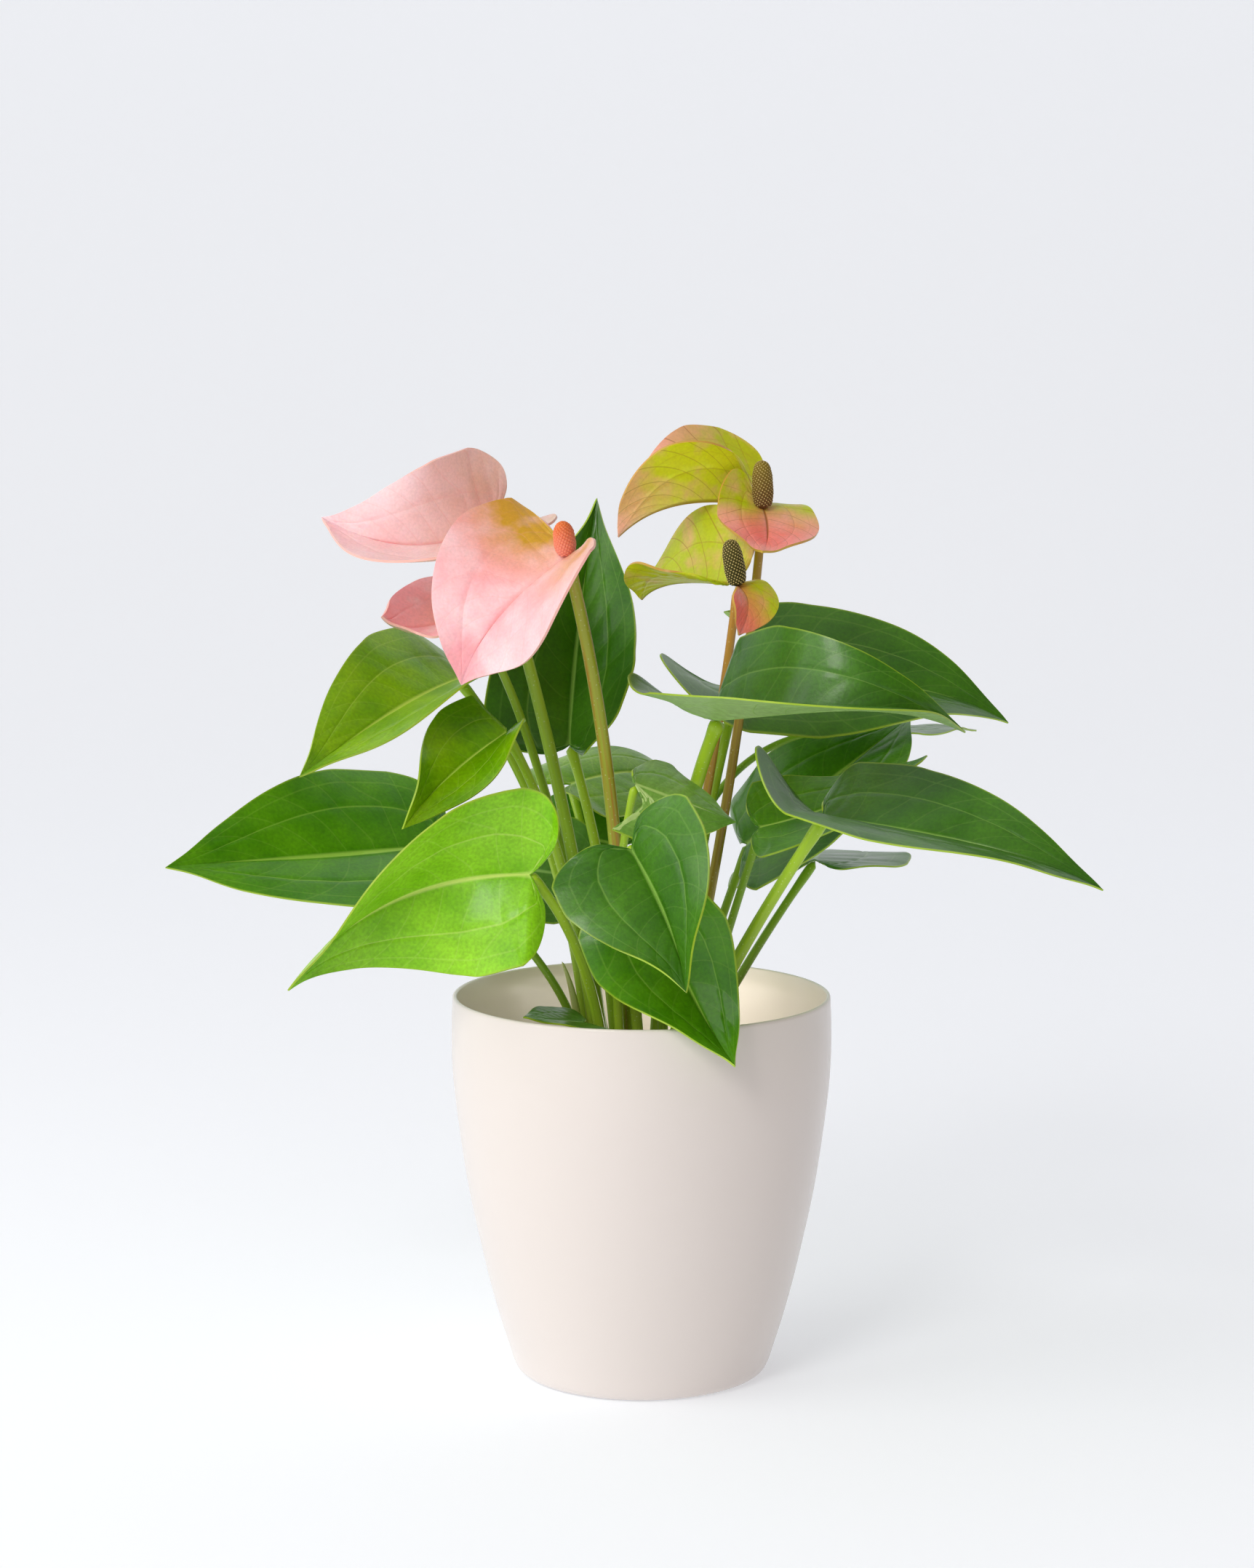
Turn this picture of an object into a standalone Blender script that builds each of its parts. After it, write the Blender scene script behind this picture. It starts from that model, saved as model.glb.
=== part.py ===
"""Potted anthurium with pink and green-pink spathes in a plain, glossy white cover pot.

The object rests on the pot's flat base. Z is up, the pot's axis is the Z axis, and the
base is at Z = 0. Blender works in metres; the tables below are in millimetres.

Every leaf blade and spathe is the same parametric surface, made solid. Every stem is a
tapered tube along a Bezier curve. Pieces that touch in the real plant are drawn a small
GAP apart, so that each stays a solid of its own.
"""

import bpy
import bmesh
import numpy as np

MM = 0.001
GAP = 0.4
FOOT_LIFT = 1.6

# Cover pot: outer radius and height, from the rim down; then wall, floor and height.
POT_OUTER = [
    (64.6, 131.8), (65.1, 130.6), (65.4, 122.0), (65.4, 112.0), (64.8, 101.0),
    (63.3, 88.0), (61.4, 74.0), (59.0, 60.0), (56.0, 46.0), (52.8, 32.0),
    (49.3, 19.0), (46.2, 9.0), (44.6, 4.0), (43.0, 1.2), (40.4, 0.0),
]
POT_WALL = 1.6
POT_FLOOR = 3.0
POT_HEIGHT = 132.0
POT_STEPS = 48

# Nursery pot inside it, the potting mix it holds, and the plant's crown.
NURSERY_TOP = (53.0, 98.0)
NURSERY_BASE_RADIUS = 38.0
NURSERY_WALL = 1.0
MIX_TOP = 88.0
CROWN_RADIUS = 25.0
CROWN_TOP = 96.0
CROWN_CENTRE = (-2.0, -5.0)
STEPS = 32

# Blades: thickness, and the grid that the surface is made on.
BLADE_THICK = 1.0
ROWS = 13
COLUMNS = 3

# Half outline of a blade: (along the midrib, across), as parts of the length and of the
# half width. Negative lengths are parts of the lobe behind the attachment.
LEAF_EDGE = [
    (0.0, 0.0), (-0.5, 0.13), (-1.0, 0.34), (-1.04, 0.60), (-0.62, 0.86), (0.10, 1.0),
    (0.32, 0.93), (0.56, 0.68), (0.76, 0.38), (0.90, 0.14), (1.0, 0.0),
]
SPATHE_EDGE = [
    (0.0, 0.0), (-0.55, 0.16), (-1.0, 0.38), (-1.0, 0.66), (-0.45, 0.90), (0.16, 1.0),
    (0.40, 0.92), (0.64, 0.66), (0.82, 0.34), (0.93, 0.12), (1.0, 0.0),
]
# A half with no lobe, widest at mid-length: the near half of a boat-shaped spathe.
BOAT_EDGE = [
    (0.0, 0.0), (0.05, 0.09), (0.12, 0.23), (0.21, 0.40), (0.32, 0.56), (0.45, 0.66),
    (0.60, 0.64), (0.74, 0.50), (0.87, 0.28), (0.95, 0.11), (1.0, 0.0),
]
# The spathes whose left and right halves differ; the others have SPATHE_EDGE on both.
HALVES = {
    "4_main": (BOAT_EDGE, SPATHE_EDGE),
    "5_main": (BOAT_EDGE, SPATHE_EDGE),
    "5_second": (SPATHE_EDGE, BOAT_EDGE),
}

# Blades: base, tip, direction that the upper side faces, width, then in pairs (left,
# right) the lobe, the degrees of fold, the degrees of curl and the lift of the lobe;
# then mm of sag, of bend and of droop, and degrees of twist.
LEAVES = {
    "01": ((-62, -7, 241), (-109, -76, 216), (0.0, -0.3, 0.9), 56, (0.05, 0.15), (20, 25), (25, 10), (0, -5), 4, 0, -3, -20),
    "02": ((-45, -30, 225), (-77, -67, 198), (-0.3, -0.4, 0.9), 38, (0.05, 0.05), (30, 35), (0, -5), (0, -5), 0, 4, 0, -80),
    "03": ((-76, 10, 181), (-158, -37, 181), (0.2, -0.4, 0.9), 74, (0.15, 0.15), (15, 20), (-10, -10), (0, 0), -2, 0, 4, -25),
    "04": ((-37, -45, 180), (-114, -71, 146), (0.2, -0.9, 0.3), 66, (0.05, 0.10), (15, 40), (0, 0), (-5, 5), -8, 12, 4, -60),
    "05": ((-27, 20, 170), (-70, 32, 172), (0.0, -0.9, 0.5), 42, (0.20, 0.20), (10, 10), (5, -5), (0, 0), 2, 0, 2, 0),
    "06": ((-8, 44, 177), (-50, 54, 178), (0.0, -0.9, 0.5), 42, (0.20, 0.20), (-10, 10), (0, -10), (0, 0), 7, 0, 2, 0),
    "07": ((-3, -66, 191), (14, -106, 152), (-0.3, -0.7, 0.6), 60, (0.10, 0.10), (45, 30), (-20, -30), (0, 0), -5, -2, 2, 0),
    "08": ((5, -40, 167), (30, -80, 123), (-0.4, -0.8, 0.5), 56, (0.10, 0.10), (35, 25), (15, -15), (0, 0), -6, 3, 0, -40),
    "09": ((-25, 20, 216), (-16, 60, 300), (-0.3, -0.9, 0.4), 64, (0.10, 0.10), (35, 40), (0, 0), (8, 0), -4, -3, 0, 45),
    "10": ((-2, -46, 210), (31, -42, 197), (0.1, -0.4, 0.9), 40, (0.10, -0.30), (5, -30), (-10, 0), (0, 0), 2, 3, 0, 0),
    "11": ((-25, 44, 199), (18, 90, 190), (0.4, -0.2, 0.9), 46, (0.15, 0.15), (5, 5), (-40, -10), (0, 5), 5, 0, 5, 20),
    "12": ((25, -44, 231), (105, -54, 228), (0.0, -0.6, 0.8), 60, (0.10, 0.15), (35, 55), (0, -10), (-10, 10), 11, 13, 18, 10),
    "13": ((34, 42, 234), (131, 53, 220), (0.2, -0.2, 1.0), 80, (-0.10, 0.25), (25, 15), (0, -45), (0, 15), 4, 0, 9, 20),
    "14": ((37, 20, 181), (96, 52, 222), (-0.3, -0.4, 0.9), 68, (0.05, 0.05), (10, 5), (-20, 5), (-5, 0), 7, 11, 2, 15),
    "15": ((40, -19, 192), (97, -6, 215), (-0.2, -0.5, 0.9), 44, (0.05, 0.05), (5, 15), (5, -10), (0, 0), 0, 5, 0, -15),
    "16": ((60, -45, 199), (148, -72, 179), (0.1, -0.3, 1.0), 60, (0.05, 0.17), (15, 30), (10, -20), (0, 17), 2, 4, 9, 20),
    "17": ((61, 30, 174), (76, 92, 162), (-0.3, 0.2, 0.9), 66, (0.20, 0.20), (10, -20), (-15, 0), (0, 0), 4, 0, 3, 5),
    "18": ((78, 66, 216), (124, 94, 213), (0.1, 0.0, 1.0), 40, (0.20, 0.20), (0, 5), (-15, -5), (0, 0), 0, 0, 2, 0),
    "19": ((-20, -28, 127), (-39, -49, 133), (0.3, 0.0, 0.9), 24, (0.20, 0.20), (5, 5), (0, 0), (0, 0), 0, 0, 0, 0),
}
SPATHES = {
    "1": ((-51, -12, 292), (-107, -15, 296), (0.1, -0.8, 0.5), 58, (0.20, 0.15), (35, 35), (35, 15), (0, 0), 5, -11, 0, -5),
    "2": ((-24, -58, 285), (-58, -60, 244), (-0.6, -0.6, 0.5), 70, (0.10, 0.05), (30, 10), (5, 5), (0, 0), 4, 0, 4, -50),
    "3": ((-58, -12, 263), (-86, -30, 264), (0.3, -0.4, 0.9), 40, (0.20, 0.20), (20, 15), (25, 0), (0, 0), -4, 3, -6, -10),
    "4_main": ((39, 15, 299), (-8, -4, 289), (-0.2, 0.0, 1.0), 70, (0.20, 0.20), (60, 55), (-40, 10), (0, 0), 2, -6, 10, 25),
    "4_second": ((41, -1, 298), (40, -25, 285), (0.2, -0.5, 0.9), 36, (0.35, 0.35), (0, 15), (0, 0), (-5, 5), 0, -2, -4, 20),
    "5_main": ((29, -6, 273), (0, 26, 266), (-0.3, -0.1, 0.9), 54, (0.10, 0.15), (25, 55), (30, 10), (0, 0), 3, -2, 3, 10),
    "5_second": ((32, -20, 273), (32, -33, 258), (0.4, -0.7, 0.6), 24, (0.25, 0.10), (5, 30), (-5, 10), (-2, 0), 4, -2, -2, 5),
}

# Stems: foot on the crown (x, y), control point of the curve, radius at the foot and at
# the top. The top is the base of the blade.
PETIOLES = {
    "01": ((-17, -7), (-21, -16, 195), 2.1, 1.6),
    "02": ((-14, -12), (-20, -16, 180), 2.0, 1.5),
    "03": ((-20, -2), (-14, -15, 138), 1.5, 1.3),
    "04": ((-11, -17), (-14, -24, 152), 2.0, 1.6),
    "05": ((-17, 4), (-18, 7, 150), 1.5, 1.2),
    "06": ((-2, 13), (-3, 62, 140), 1.6, 1.3),
    "07": ((1, -17), (-7, -19, 186), 2.0, 1.6),
    "08": ((7, -17), (8, -22, 150), 1.8, 1.5),
    "09": ((-5, 3), (-9, 8, 165), 2.0, 1.7),
    "10": ((-5, -17), (-13, -27, 165), 1.8, 1.2),
    "11": ((-8, 8), (-11, 14, 150), 1.7, 1.4),
    "12": ((4, -12), (9, -14, 190), 2.5, 2.2),
    "13": ((10, 8), (16, 20, 170), 2.2, 1.8),
    "14": ((10, -2), (20, -2, 140), 1.7, 1.4),
    "15": ((13, -7), (24, -14, 140), 1.6, 1.3),
    "16": ((10, -12), (22, -38, 140), 2.3, 1.9),
    "17": ((13, 3), (26, 6, 128), 1.7, 1.4),
    "18": ((4, 8), (4, 54, 222), 1.6, 1.2),
    "19": ((-7, -22), (-12, -24, 115), 1.2, 0.9),
}
PEDUNCLES = {
    "1": ((-11, -7), (-22, -10, 200), 2.4, 1.9, "1"),
    "2": ((-5, -12), (-5, -22, 205), 2.4, 2.0, "2"),
    "3": ((-8, -2), (-36, 4, 235), 1.7, 1.4, "3"),
    "4": ((9, 3), (34, 5, 205), 1.8, 1.5, "4_second"),
    "5": ((1, -7), (24, -4, 200), 1.7, 1.4, "5_second"),
}

# Spadices: the spathe each stands on, the way it points, length, greatest radius.
SPADICES = {
    "1": ("1", (0.35, -0.60, 0.55), 12.0, 3.2),
    "2": ("2", (-0.05, -0.10, 1.0), 9.0, 3.5),
    "3": ("3", (0.45, -0.45, 0.75), 12.0, 2.8),
    "4": ("4_second", (-0.08, 0.05, 1.0), 14.0, 3.5),
    "5": ("5_second", (-0.3, -0.15, 1.0), 13.5, 3.4),
}
SPADIX_LIFT = 3.2

# A furled young leaf that stands up from the crown: foot, control point, tip, radius.
SHEATH = ((-20, -13), (-20, -15, 130), (-27, -17, 146), 1.9)

LOOKS = {
    "cover_pot": ((0.86, 0.83, 0.80), 0.25),
    "nursery_pot": ((0.05, 0.05, 0.05), 0.6),
    "potting_mix": ((0.08, 0.045, 0.025), 0.95),
    "crown": ((0.22, 0.13, 0.05), 0.9),
    "leaf": ((0.06, 0.22, 0.03), 0.35),
    "petiole": ((0.35, 0.48, 0.10), 0.45),
    "peduncle": ((0.36, 0.36, 0.10), 0.45),
    "spathe_pink": ((0.90, 0.45, 0.42), 0.35),
    "spathe_bicolour": ((0.60, 0.42, 0.16), 0.35),
    "spadix_orange": ((0.80, 0.32, 0.14), 0.6),
    "spadix_brown": ((0.16, 0.12, 0.05), 0.7),
    "sheath": ((0.45, 0.50, 0.20), 0.6),
}


def unit(vector):
    """The vectors along the last axis, each at length one."""
    return vector / np.linalg.norm(vector, axis=-1, keepdims=True)


def outline(edge, lobe, place):
    """Points of the half outline at each place, 0 to 1, with a lobe length for each."""
    points = np.array(edge)
    points = np.vstack([2 * points[0] - points[1], points, 2 * points[-1] - points[-2]])
    position = place * (len(edge) - 1)
    start = np.minimum(position.astype(int), len(edge) - 2)
    part = (position - start)[..., None]
    p0, p1, p2, p3 = (points[start + step] for step in range(4))
    smooth = 0.5 * (
        2 * p1
        + (p2 - p0) * part
        + (2 * p0 - 5 * p1 + 4 * p2 - p3) * part**2
        + (3 * p1 - p0 - 3 * p2 + p3) * part**3
    )
    along = np.where(smooth[..., 0] < 0, smooth[..., 0] * lobe, smooth[..., 0])
    return along, smooth[..., 1]


def pick(side, pair):
    """The left or the right value of a pair, by the sign of side."""
    return np.where(side < 0, pair[0], pair[1])


def two_sided(edges, lobe, place, side):
    """The half outlines of both sides, from a pair of edges."""
    left, right = (outline(edge, lobe, place) for edge in edges)
    return pick(side, (left[0], right[0])), pick(side, (left[1], right[1]))


def blade_points(row, edges, place, across):
    """The blade's surface: place runs 0 to 1 from base to tip, across -1 to 1."""
    base, tip, face, width, lobes, folds, curls, lifts, sag, bend, droop, twist = row
    base, tip, face = np.array(base, float), np.array(tip, float), np.array(face, float)
    length = np.linalg.norm(tip - base)
    chord = (tip - base) / length
    up = unit(face - chord * (face @ chord))
    right = np.cross(chord, up)
    side, share = np.sign(across), np.abs(across)
    lobe = pick(side, lobes)
    edge_x, edge_y = two_sided(edges, lobe, place, side)
    spine = np.clip((place - 0.30) / 0.70, 0, 1) ** 1.15
    x = spine + (edge_x - spine) * share
    y = edge_y * share * width / 2
    ahead, behind = np.maximum(x, 0), np.minimum(x, 0)
    rise = sag * 4 * (1 - 2 * ahead) - droop * (4 * ahead**3 - 1)
    swing = bend * 4 * (1 - 2 * ahead)
    height = sag * 4 * ahead * (1 - ahead) - droop * (ahead**4 - ahead) + behind * rise
    sideways = bend * 4 * ahead * (1 - ahead) + behind * swing
    point = base + chord * (x * length)[..., None]
    point = point + up * height[..., None] + right * sideways[..., None]
    along = unit(chord * length + up * rise[..., None] + right * swing[..., None])
    turn = np.radians(twist) * x
    normal = up * np.cos(turn)[..., None] + right * np.sin(turn)[..., None]
    normal = unit(normal - along * (normal * along).sum(-1, keepdims=True))
    lateral = np.cross(along, normal)
    bow = np.radians(pick(side, curls)) / (width / 2) * y / 2
    angle = np.radians(pick(side, folds)) + bow
    reach = y * np.sinc(bow / np.pi)
    raised = pick(side, lifts) * (behind / lobe) ** 2
    point = point + lateral * (side * reach * np.cos(angle))[..., None]
    return point + normal * (reach * np.sin(angle) + raised)[..., None]


def upper_direction(row):
    """The direction that the blade's upper side faces at its base."""
    base, tip, face = (np.array(part, float) for part in row[:3])
    chord = unit(tip - base)
    rise = 4 * row[8] + row[10]
    up = unit(face - chord * (face @ chord))
    return unit(up * np.linalg.norm(tip - base) - chord * rise)


def material(name):
    """The plain material of one slot."""
    made = bpy.data.materials.get(name)
    if made is None:
        colour, roughness = LOOKS[name]
        made = bpy.data.materials.new(name)
        made.use_nodes = True
        shader = made.node_tree.nodes["Principled BSDF"]
        shader.inputs["Base Color"].default_value = (*colour, 1.0)
        shader.inputs["Roughness"].default_value = roughness
        shader.inputs["Metallic"].default_value = 0.0
    return made


def add_object(name, data, slot, collection):
    """A new object in the collection, with its material."""
    obj = bpy.data.objects.new(name, data)
    data.materials.append(material(slot))
    collection.objects.link(obj)
    return obj


def make_blade(name, row, edges, slot, collection):
    """A leaf blade or a spathe: the surface on a grid, then made solid."""
    work = bmesh.new()
    bmesh.ops.create_grid(work, x_segments=ROWS, y_segments=2 * COLUMNS, size=1.0)
    flat = np.array([vertex.co[:2] for vertex in work.verts])
    points = blade_points(row, edges, (flat[:, 0] + 1) / 2, flat[:, 1]) * MM
    for vertex, point in zip(work.verts, points):
        vertex.co = point
    bmesh.ops.remove_doubles(work, verts=work.verts, dist=0.02 * MM)
    mesh = bpy.data.meshes.new(name)
    work.to_mesh(mesh)
    work.free()
    obj = add_object(name, mesh, slot, collection)
    solid = obj.modifiers.new("Thickness", "SOLIDIFY")
    solid.thickness = BLADE_THICK * MM
    solid.offset = 0.0
    return obj


def make_tube(name, points, radii, slot, collection):
    """A round, tapered tube through the points, closed at both ends."""
    curve = bpy.data.curves.new(name, "CURVE")
    curve.dimensions = "3D"
    curve.bevel_depth = MM
    curve.bevel_resolution = 2
    curve.use_fill_caps = True
    line = curve.splines.new("POLY")
    line.points.add(len(points) - 1)
    for target, point, radius in zip(line.points, points, radii):
        target.co = (*(np.array(point) * MM), 1.0)
        target.radius = radius
    return add_object(name, curve, slot, collection)


def bend_through(foot, control, top, count=12):
    """Points of a quadratic Bezier curve from foot to top."""
    part = np.linspace(0, 1, count)[:, None]
    foot, control, top = (np.array(point, float) for point in (foot, control, top))
    return (1 - part) ** 2 * foot + 2 * part * (1 - part) * control + part**2 * top


def make_stem(name, stem, row, slot, collection):
    """A stem from the crown to just under the base of its blade."""
    foot = (*stem[0], CROWN_TOP + GAP + FOOT_LIFT)
    under = BLADE_THICK / 2 + GAP + 0.5 * stem[3]
    top = np.array(row[0], float) - upper_direction(row) * under
    points = bend_through(foot, stem[1], top)
    radii = np.linspace(stem[2], stem[3], len(points))
    radii[-1] *= 0.6
    return make_tube(name, points, radii, slot, collection)


def make_spadix(name, spadix, slot, collection):
    """A blunt, slightly tapered rod."""
    key, direction, length, radius = spadix
    base = np.array(SPATHES[key][0], float) + upper_direction(SPATHES[key]) * SPADIX_LIFT
    shape = [(0.0, 0.45), (0.05, 0.8), (0.15, 1.0), (0.4, 1.0), (0.7, 0.95), (0.87, 0.82)]
    shape += [(0.96, 0.55), (1.0, 0.2)]
    axis = unit(np.array(direction)) * length
    points = [base + axis * part for part, _ in shape]
    return make_tube(name, points, [radius * size for _, size in shape], slot, collection)


def make_turned(name, profile, slot, collection, steps, centre=(0.0, 0.0)):
    """A turned solid. The profile ends on the axis and runs down its outer side."""
    mesh = bpy.data.meshes.new(name)
    points = [(radius * MM, 0.0, height * MM) for radius, height in profile]
    mesh.from_pydata(points, [(i, i + 1) for i in range(len(points) - 1)], [])
    obj = add_object(name, mesh, slot, collection)
    obj.location = (centre[0] * MM, centre[1] * MM, 0.0)
    screw = obj.modifiers.new("Turn", "SCREW")
    screw.steps = steps
    screw.render_steps = steps
    screw.use_merge_vertices = True
    screw.merge_threshold = 0.00001
    screw.use_smooth_shade = True
    return obj


def make_pots(collection):
    """The cover pot, the nursery pot in it, the potting mix and the crown."""
    inner = [(radius - POT_WALL, height) for radius, height in POT_OUTER[2:12]]
    inner.append((POT_OUTER[12][0] - POT_WALL - 1.0, POT_FLOOR + 1.5))
    inner.append((POT_OUTER[12][0] - POT_WALL - 3.0, POT_FLOOR))
    rim = [(POT_OUTER[1][0] - POT_WALL, POT_HEIGHT - 1.2)]
    rim.append((POT_OUTER[0][0] - POT_WALL / 2 + 0.2, POT_HEIGHT))
    profile = [(0.0, POT_FLOOR)] + inner[::-1] + rim + POT_OUTER + [(0.0, 0.0)]
    make_turned("cover_pot", profile, "cover_pot", collection, POT_STEPS)
    foot = POT_FLOOR + GAP
    top_radius, top = NURSERY_TOP
    wall = NURSERY_WALL
    profile = [(0.0, foot + wall), (NURSERY_BASE_RADIUS - wall, foot + wall)]
    profile += [(top_radius - wall, top), (top_radius, top)]
    profile += [(NURSERY_BASE_RADIUS, foot), (0.0, foot)]
    make_turned("nursery_pot", profile, "nursery_pot", collection, STEPS)
    slope = (top_radius - NURSERY_BASE_RADIUS) / (top - foot)
    low = foot + wall + GAP
    bottom_radius = NURSERY_BASE_RADIUS - wall - 2 * GAP + slope * (low - foot)
    mix_radius = NURSERY_BASE_RADIUS - wall - 2 * GAP + slope * (MIX_TOP - foot)
    profile = [(0.0, MIX_TOP), (mix_radius, MIX_TOP), (bottom_radius, low), (0.0, low)]
    make_turned("potting_mix", profile, "potting_mix", collection, STEPS)
    low = MIX_TOP + GAP
    profile = [(0.0, CROWN_TOP), (CROWN_RADIUS - 2.0, CROWN_TOP)]
    profile += [(CROWN_RADIUS, CROWN_TOP - 2.0), (CROWN_RADIUS, low), (0.0, low)]
    make_turned("crown", profile, "crown", collection, STEPS, CROWN_CENTRE)


def make_plant(collection):
    """Leaves, flowers and the furled young leaf."""
    for key, row in LEAVES.items():
        make_blade(f"leaf_{key}", row, (LEAF_EDGE, LEAF_EDGE), "leaf", collection)
        make_stem(f"petiole_{key}", PETIOLES[key], row, "petiole", collection)
    for key, row in SPATHES.items():
        slot = "spathe_pink" if key in "123" else "spathe_bicolour"
        edges = HALVES.get(key, (SPATHE_EDGE, SPATHE_EDGE))
        make_blade(f"spathe_{key}", row, edges, slot, collection)
    for key, stem in PEDUNCLES.items():
        make_stem(f"peduncle_{key}", stem, SPATHES[stem[4]], "peduncle", collection)
    for key, spadix in SPADICES.items():
        slot = "spadix_orange" if key in "123" else "spadix_brown"
        make_spadix(f"spadix_{key}", spadix, slot, collection)
    (x, y), control, tip, radius = SHEATH
    points = bend_through((x, y, CROWN_TOP + GAP), control, tip, 8)
    radii = [radius * (1 - 0.9 * part**2) for part in np.linspace(0, 1, 8)]
    make_tube("sheath", points, radii, "sheath", collection)


def main():
    for obj in list(bpy.data.objects):
        bpy.data.objects.remove(obj)
    collection = bpy.data.collections.new("potted_anthurium")
    bpy.context.scene.collection.children.link(collection)
    make_pots(collection)
    make_plant(collection)


main()
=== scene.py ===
"""Looks of the potted anthurium: every piece is a finely modelled mesh in its CAD node's place.

Tables are in millimetres and degrees, and repeat those that the frame was built from.
Meshes are made in metres, in the frame's own axes, with each object at the origin.
"""

import math

import bmesh
import bpy
import numpy as np
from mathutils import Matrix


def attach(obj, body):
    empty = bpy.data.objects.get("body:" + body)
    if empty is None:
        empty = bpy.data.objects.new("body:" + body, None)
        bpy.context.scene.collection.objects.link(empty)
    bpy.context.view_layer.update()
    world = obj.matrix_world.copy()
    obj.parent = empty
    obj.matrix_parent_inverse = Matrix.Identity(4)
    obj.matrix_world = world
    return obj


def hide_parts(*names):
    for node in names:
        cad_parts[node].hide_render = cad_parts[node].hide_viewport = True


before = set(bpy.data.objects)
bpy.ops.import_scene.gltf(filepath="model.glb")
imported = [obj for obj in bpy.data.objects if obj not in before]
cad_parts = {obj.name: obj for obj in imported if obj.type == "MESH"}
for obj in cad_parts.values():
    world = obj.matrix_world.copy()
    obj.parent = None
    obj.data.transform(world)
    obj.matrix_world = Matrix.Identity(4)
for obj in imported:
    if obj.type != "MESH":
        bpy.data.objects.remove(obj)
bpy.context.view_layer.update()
MM = 0.001
GOLDEN_ANGLE = math.radians(137.508)
FLORET_RADIUS = 0.62
FLORET_CROWDING = 6.2  # florets for each square mm of a spadix's length times its radius

# Half outline of a blade: (along the midrib, across), as parts of the length and of the
# half width. Negative lengths are parts of the lobe behind the attachment.
LEAF_EDGE = [
    (0.0, 0.0), (-0.5, 0.13), (-1.0, 0.34), (-1.04, 0.60), (-0.62, 0.86), (0.10, 1.0),
    (0.32, 0.93), (0.56, 0.68), (0.76, 0.38), (0.90, 0.14), (1.0, 0.0),
]
SPATHE_EDGE = [
    (0.0, 0.0), (-0.55, 0.16), (-1.0, 0.38), (-1.0, 0.66), (-0.45, 0.90), (0.16, 1.0),
    (0.40, 0.92), (0.64, 0.66), (0.82, 0.34), (0.93, 0.12), (1.0, 0.0),
]
# A half with no lobe, widest at mid-length: the near half of a boat-shaped spathe.
BOAT_EDGE = [
    (0.0, 0.0), (0.05, 0.09), (0.12, 0.23), (0.21, 0.40), (0.32, 0.56), (0.45, 0.66),
    (0.60, 0.64), (0.74, 0.50), (0.87, 0.28), (0.95, 0.11), (1.0, 0.0),
]
# The spathes whose left and right halves differ; the others have SPATHE_EDGE on both.
HALVES = {
    "4_main": (BOAT_EDGE, SPATHE_EDGE),
    "5_main": (BOAT_EDGE, SPATHE_EDGE),
    "5_second": (SPATHE_EDGE, BOAT_EDGE),
}

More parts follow.
